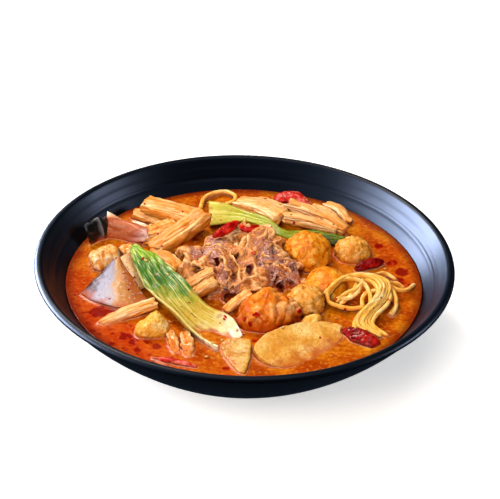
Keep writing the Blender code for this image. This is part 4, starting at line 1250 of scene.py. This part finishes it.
# %% [markdown]
# ## The broth
# The broth is milky with bean paste and bright orange, under a film of dark red chilli oil that gathers
# in blots. Where anything stands in it, the liquid climbs a millimetre: that rim, the meniscus, catches
# the light as a thin pale line, which is also painted in as a highlight, and tells the eye that the food is
# really in the soup. So the surface asks a search tree of all the food how near the closest piece is, and
# rises where it is near. Its grain carries the place and the amount of oil, and its tone how near the
# shore is: food above nought, where a highlight is painted, the bowl's wall below, where shade is painted.

# %% Where the oil floats
BROTH_GAP = 0.35  # between the broth and the wall
RINGS = [6, 12, 18] + [20 + 0.75 * k for k in range(110)]  # radii, close together where they can be seen
SECTORS = 560
CLIMB, CLIMB_WIDTH = 0.6, 0.7  # how high the broth rises at a piece, and how far out from it
OILY = [
    # x, y, spread, strength of the oil that floats there
    (-75, -60, 28, 1.1), (-96, -28, 20, 0.9), (-46, -84, 22, 1.0), (-94, -2, 14, 0.5), (96, 8, 17, 0.9),
    (86, 36, 13, 0.7), (92, -24, 12, 0.5), (62, 68, 12, 0.5), (-64, 74, 22, 1.0), (34, -93, 14, 0.4),
    (-5, -92, 12, 0.5),
]
BLOTS = [
    # x, y, radius of a large drop of oil
    (-64.5, -60.8, 3.2), (-60, -62, 2.6), (-60, -66, 2.6), (-46.5, -69.5, 3), (-71, -68, 2.6), (-80, -38, 6),
    (-73, -37, 4.5), (-57, -73, 2.2), (-83, -56, 2), (-88, -22, 2.5), (-52, -66, 1.6), (92, 12, 4.5),
    (90, 2, 4), (87, 22, 3.5), (80, 40, 3), (97, -2, 2.5), (-30, -92, 2), (8, -62, 2.5), (-8, -88, 2),
    (-7, -95, 2.2),
]


def oil_at(x, y):
    """From 0 for none to 1 where drops crowd, and 2 inside a large drop."""
    amount = sum(power * math.exp(-((x - a) ** 2 + (y - b) ** 2) / reach**2) for a, b, reach, power in OILY)
    amount = min(1, amount)
    for a, b, radius in BLOTS:
        ragged = 0.9 * noise_at(x / 3, y / 3, a)
        inside = radius - math.hypot(x - a, y - b) + ragged
        amount = max(amount, min(2, 1 + inside / 0.8))
    return amount


print(f"oil: {oil_at(-75, -60):.1f} at the front left, {oil_at(60, 0):.1f} under the noodles")

# %% The surface of the broth
food_tree = search_tree([thing.data for thing in made if thing is not bowl])  # in metres


def broth_radius():
    """Radius of the broth's edge, where its level meets the wall."""
    low, high = LEVEL - 2 * (WALL + BROTH_GAP), LEVEL
    while high - low > 0.001:
        middle = (low + high) / 2
        if inside_point(middle, WALL + BROTH_GAP)[1] < LEVEL:
            low = middle
        else:
            high = middle
    return inside_point(low, WALL + BROTH_GAP)[0]


def make_broth():
    edge = broth_radius()
    shape = Shape()
    rings = []
    centre = shape.add((0, 0, LEVEL), (0, 0, 0))
    for radius in [r for r in RINGS if r < edge - 0.3] + [edge]:
        rings.append([])
        for k in range(SECTORS):
            angle = math.tau * k / SECTORS
            x, y = radius * math.cos(angle), radius * math.sin(angle)
            near = food_tree.find_nearest(Vector((x, y, LEVEL + 0.9)) * MM, 6 * MM)[3]
            far = 6.0 if near is None else near / MM
            wall = edge - radius
            rise = CLIMB * math.exp(-min(far, wall + 0.6) / CLIMB_WIDTH)
            swell = 0.12 * noise_at(x / 6, y / 6, 3.0)
            # The tone: near food it paints a highlight, near the wall it paints shade.
            shore = math.exp(-((far / 0.9) ** 2)) - math.exp(-((wall / 4.5) ** 2))
            rings[-1].append(shape.add((x, y, LEVEL + rise + swell - 0.05), (x, y, oil_at(x, y)), shore))
    under = [inside_point(height, WALL + BROTH_GAP) for height in (34, 23, 13)] + [(FOOT_RADIUS, FLOOR + 1)]
    rings += [circle(shape, radius, height, SECTORS) for radius, height in under]
    return shape.wrap(rings, centre, shape.add((0, 0, FLOOR + 0.4), (0, 0, 0)))


# %% [markdown]
# Broth is water with oil on it, a sharp mirror, but it is milky and uneven too, so its gloss is a little
# blurred. Grit of bean paste is drawn at 2.4 mm, coarser than it is, so that it shows.

# %% The finish of the broth
def finish_broth():
    """Cream and grit, red where oil floats, drops of oil bent out of round, a painted highlight on the rim,
    painted shade along the wall and in the hollows between pieces.
    """
    material, tree, shader = start_material("chilli_oil_broth", IOR=1.36, Specular_IOR_Level=0.25)
    grain, shore = own_place(tree)
    oil = add_node(tree, "SeparateXYZ", {0: grain}, out="Z")
    place = add_node(tree, "VectorMath", {0: grain, 1: (1, 1, 0)}, operation="MULTIPLY")
    cream = add_node(tree, "TexNoise", {"Vector": place, "Scale": 1 / 18, "Detail": 4.0})
    grit = add_node(tree, "TexNoise", {"Vector": place, "Scale": 1 / 2.4, "Detail": 4.0})
    colour = add_node(tree, "ValToRGB", {"Fac": cream}, ramp=[
        (0.3, "903000"), (0.44, "aa4801"), (0.56, "be6402"), (0.72, "d28410"),
    ])
    colour = coat(tree, colour, "8e3401", grit, 0.5, 0.34, 0.6)
    colour = coat(tree, colour, "d49030", grit, 0.53, 0.7, 0.6)
    colour = coat(tree, colour, "b82400", oil, 0.1, 1.3, 0.65)
    bend = add_node(tree, "TexNoise", {"Vector": place, "Scale": 1 / 4, "Detail": 1.0}, out="Color")
    bent = add_node(tree, "VectorMath", {0: bend, 1: (3, 3, 0), 2: place}, operation="MULTIPLY_ADD")
    drops = add_node(tree, "TexVoronoi", {"Vector": bent, "Scale": 1 / 3.4})
    size = add_node(tree, "MapRange", {0: oil, 1: 0.2, 2: 2.0, 3: -0.02, 4: 0.9})
    inside = add_node(tree, "Math", {0: size, 1: drops}, operation="SUBTRACT")
    colour = coat(tree, colour, "780400", inside, -0.1, 0.3, 0.9)
    # A painted highlight on the meniscus at the food, and painted shade where the broth meets the wall.
    colour = coat(tree, colour, "ecac90", shore, 0.45, 0.95, 0.6)
    colour = coat(tree, colour, "641602", shore, -0.1, -0.9, 0.8)
    # Painted shade in the hollows between pieces.
    open_sky = add_node(tree, "AmbientOcclusion", {"Distance": 6 * MM}, out="AO", samples=8)
    colour = coat(tree, colour, HOLLOW_SHADE, open_sky, 0.6, 0.15, 0.8)
    connect(tree, shader, grit, 0.1, colour, (cream, 0.3, 0.7, 0.16, 0.28))
    return material


put("broth_surface", make_broth(), finish_broth(), "broth", "broth")

# %% [markdown]
# ## Chilli flakes and garlic
# Crushed chilli and bits of garlic lie on everything. Each is a small crumpled scrap, a millimetre or
# two across. A ray shot straight down finds what lies under a chosen place, so the scrap rests on it.

# %% Flakes and crumbs
FLAKES = [
    # x, y, size of a flake
    (-10, -49, 2.8), (1, -50, 3.0), (4, -53, 2.4), (7, -52, 3.0), (10, -55, 3.2), (16, -56, 2.6),
    (19, -54, 2.2), (31, -43, 2.8), (29, 52, 1.8), (-17, 1, 4.0), (5, 2, 3.0), (-3, 29, 1.8),
    (-58, -4, 1.6), (48, -20, 2.6), (52, -27, 2.0), (57, -33, 1.5), (70, -18, 1.2), (24, -40, 2.0),
]
CRUMBS = [
    # x, y, size of a crumb
    (-19, -78, 2.4), (-23, -62, 2.0), (-11, -62, 1.8), (-16, -70, 1.4), (16, -57, 2.0), (22, -57, 1.6),
    (48, -41, 2.0), (52, -38, 1.6), (34, -40, 2.0), (-56, -6, 1.8), (-40, -46, 2.2), (-3, -58, 1.6),
]
CORNERS = 9


def scrap(spot, normal, size, thickness, dice):
    """A crumpled scrap with an uneven outline, lying on a surface."""
    shape = Shape()
    spin = normal.to_track_quat("Z", "Y").to_matrix() @ Matrix.Rotation(dice.uniform(0, 6.3), 3, "Z")
    long = dice.uniform(0.9, 1.6)
    rings = []
    for height, share in ((0, 0.85), (thickness * 0.5, 1.0), (thickness, 0.7)):
        rings.append([])
        for k in range(CORNERS):
            angle = math.tau * k / CORNERS
            radius = size / 2 * share * (1 + 0.35 * noise_at(angle, size * 9, spot.x))
            lift = height + 0.3 * size * noise_at(math.cos(angle), math.sin(angle), spot.y)
            local = Vector((radius * long * math.cos(angle), radius * math.sin(angle), lift))
            rings[-1].append(shape.add(spot + spin @ local, local))
    shape.wrap(rings).faces += [rings[0][::-1], rings[-1]]
    return shape


def scattered(places, count, sizes, thickness, seed, reach=92):
    """Scraps at the chosen places, then at random ones, each on what a falling ray meets."""
    dice = random.Random(seed)
    spots = list(places)
    while len(spots) < len(places) + count:
        x, y = dice.uniform(-reach, reach), dice.uniform(-reach, reach)
        if math.hypot(x, y) < reach:
            spots.append((x, y, dice.uniform(*sizes)))
    shape = Shape()
    for x, y, size in spots:
        spot, normal, _, _ = food_tree.ray_cast(Vector((x, y, 90)) * MM, -UP)
        if spot is None or spot.z < LEVEL * MM:
            spot, normal = Vector((x, y, LEVEL)) * MM, UP
        shape.join(scrap(spot / MM, normal, size, thickness, dice))
    return shape


# Garlic is dense and waxy, tinted by the oil.
garlic = cooked(
    "garlic_crumb", [(0.3, "d09a3c"), (0.6, "e6c478")], patch_mm=2, grain_mm=0.8, bump_mm=0.1, shade="b87018",
    reach=1,
)
put("chilli_flakes", scattered(FLAKES, 90, (0.5, 1.5), 0.3, seed=5), bright_chilli, "chilli")
put("garlic_crumbs", scattered(CRUMBS, 50, (0.6, 1.4), 0.7, seed=8), garlic, "fish_ball")

# %% [markdown]
# ## Floor
# The bowl stands on a white light table, which glows a little and so stays white round the black bowl. It
# is hidden from mirror rays, or else it would show in the bowl's outer wall. It belongs to the stage and
# not to the object.

# %% Floor
HALF = 3.0  # metres
floor_mesh = bpy.data.meshes.new("floor")
corners = [(-HALF, -HALF, 0), (HALF, -HALF, 0), (HALF, HALF, 0), (-HALF, HALF, 0)]
floor_mesh.from_pydata(corners, [], [(0, 1, 2, 3)])
floor = bpy.data.objects.new("floor", floor_mesh)
bpy.context.scene.collection.objects.link(floor)
floor.location.z = cad_box[0].z - 0.2 * MM
table, _, _ = start_material(
    "white_light_table", Roughness=0.9, Base_Color=linear("f7f7f7"), Specular_IOR_Level=0.1,
    Emission_Color=linear("ffffff"), Emission_Strength=0.6,
)
floor_mesh.materials.append(table)
floor.visible_glossy = False
print(f"floor {2 * HALF:.0f} m wide")

# %% [markdown]
# ## Which lamp lights what
# Light linking gives a lamp a list of the things that it may light. It comes last, because only now does
# everything exist.

# %% Light linking
food_and_floor = [thing for thing in made if thing is not bowl] + [floor]
for name, (*_, lit) in LAMPS.items():
    if lit != "all":
        group = bpy.data.collections.new(name + "_lights")
        for thing in [bowl] if lit == "bowl" else food_and_floor:
            group.objects.link(thing)
        bpy.data.objects[name].light_linking.receiver_collection = group
print(f"the cold lamps light the bowl, the weak ones the floor and {len(made) - 1} pieces of food")

# %% [markdown]
# ## Sizes and the end
# The dressed model is meant to fill the same box as the solids, so the solids' box is written down.

# %% Sizes
print("solids", [round(v, 4) for v in cad_box[0]], [round(v, 4) for v in cad_box[1]])
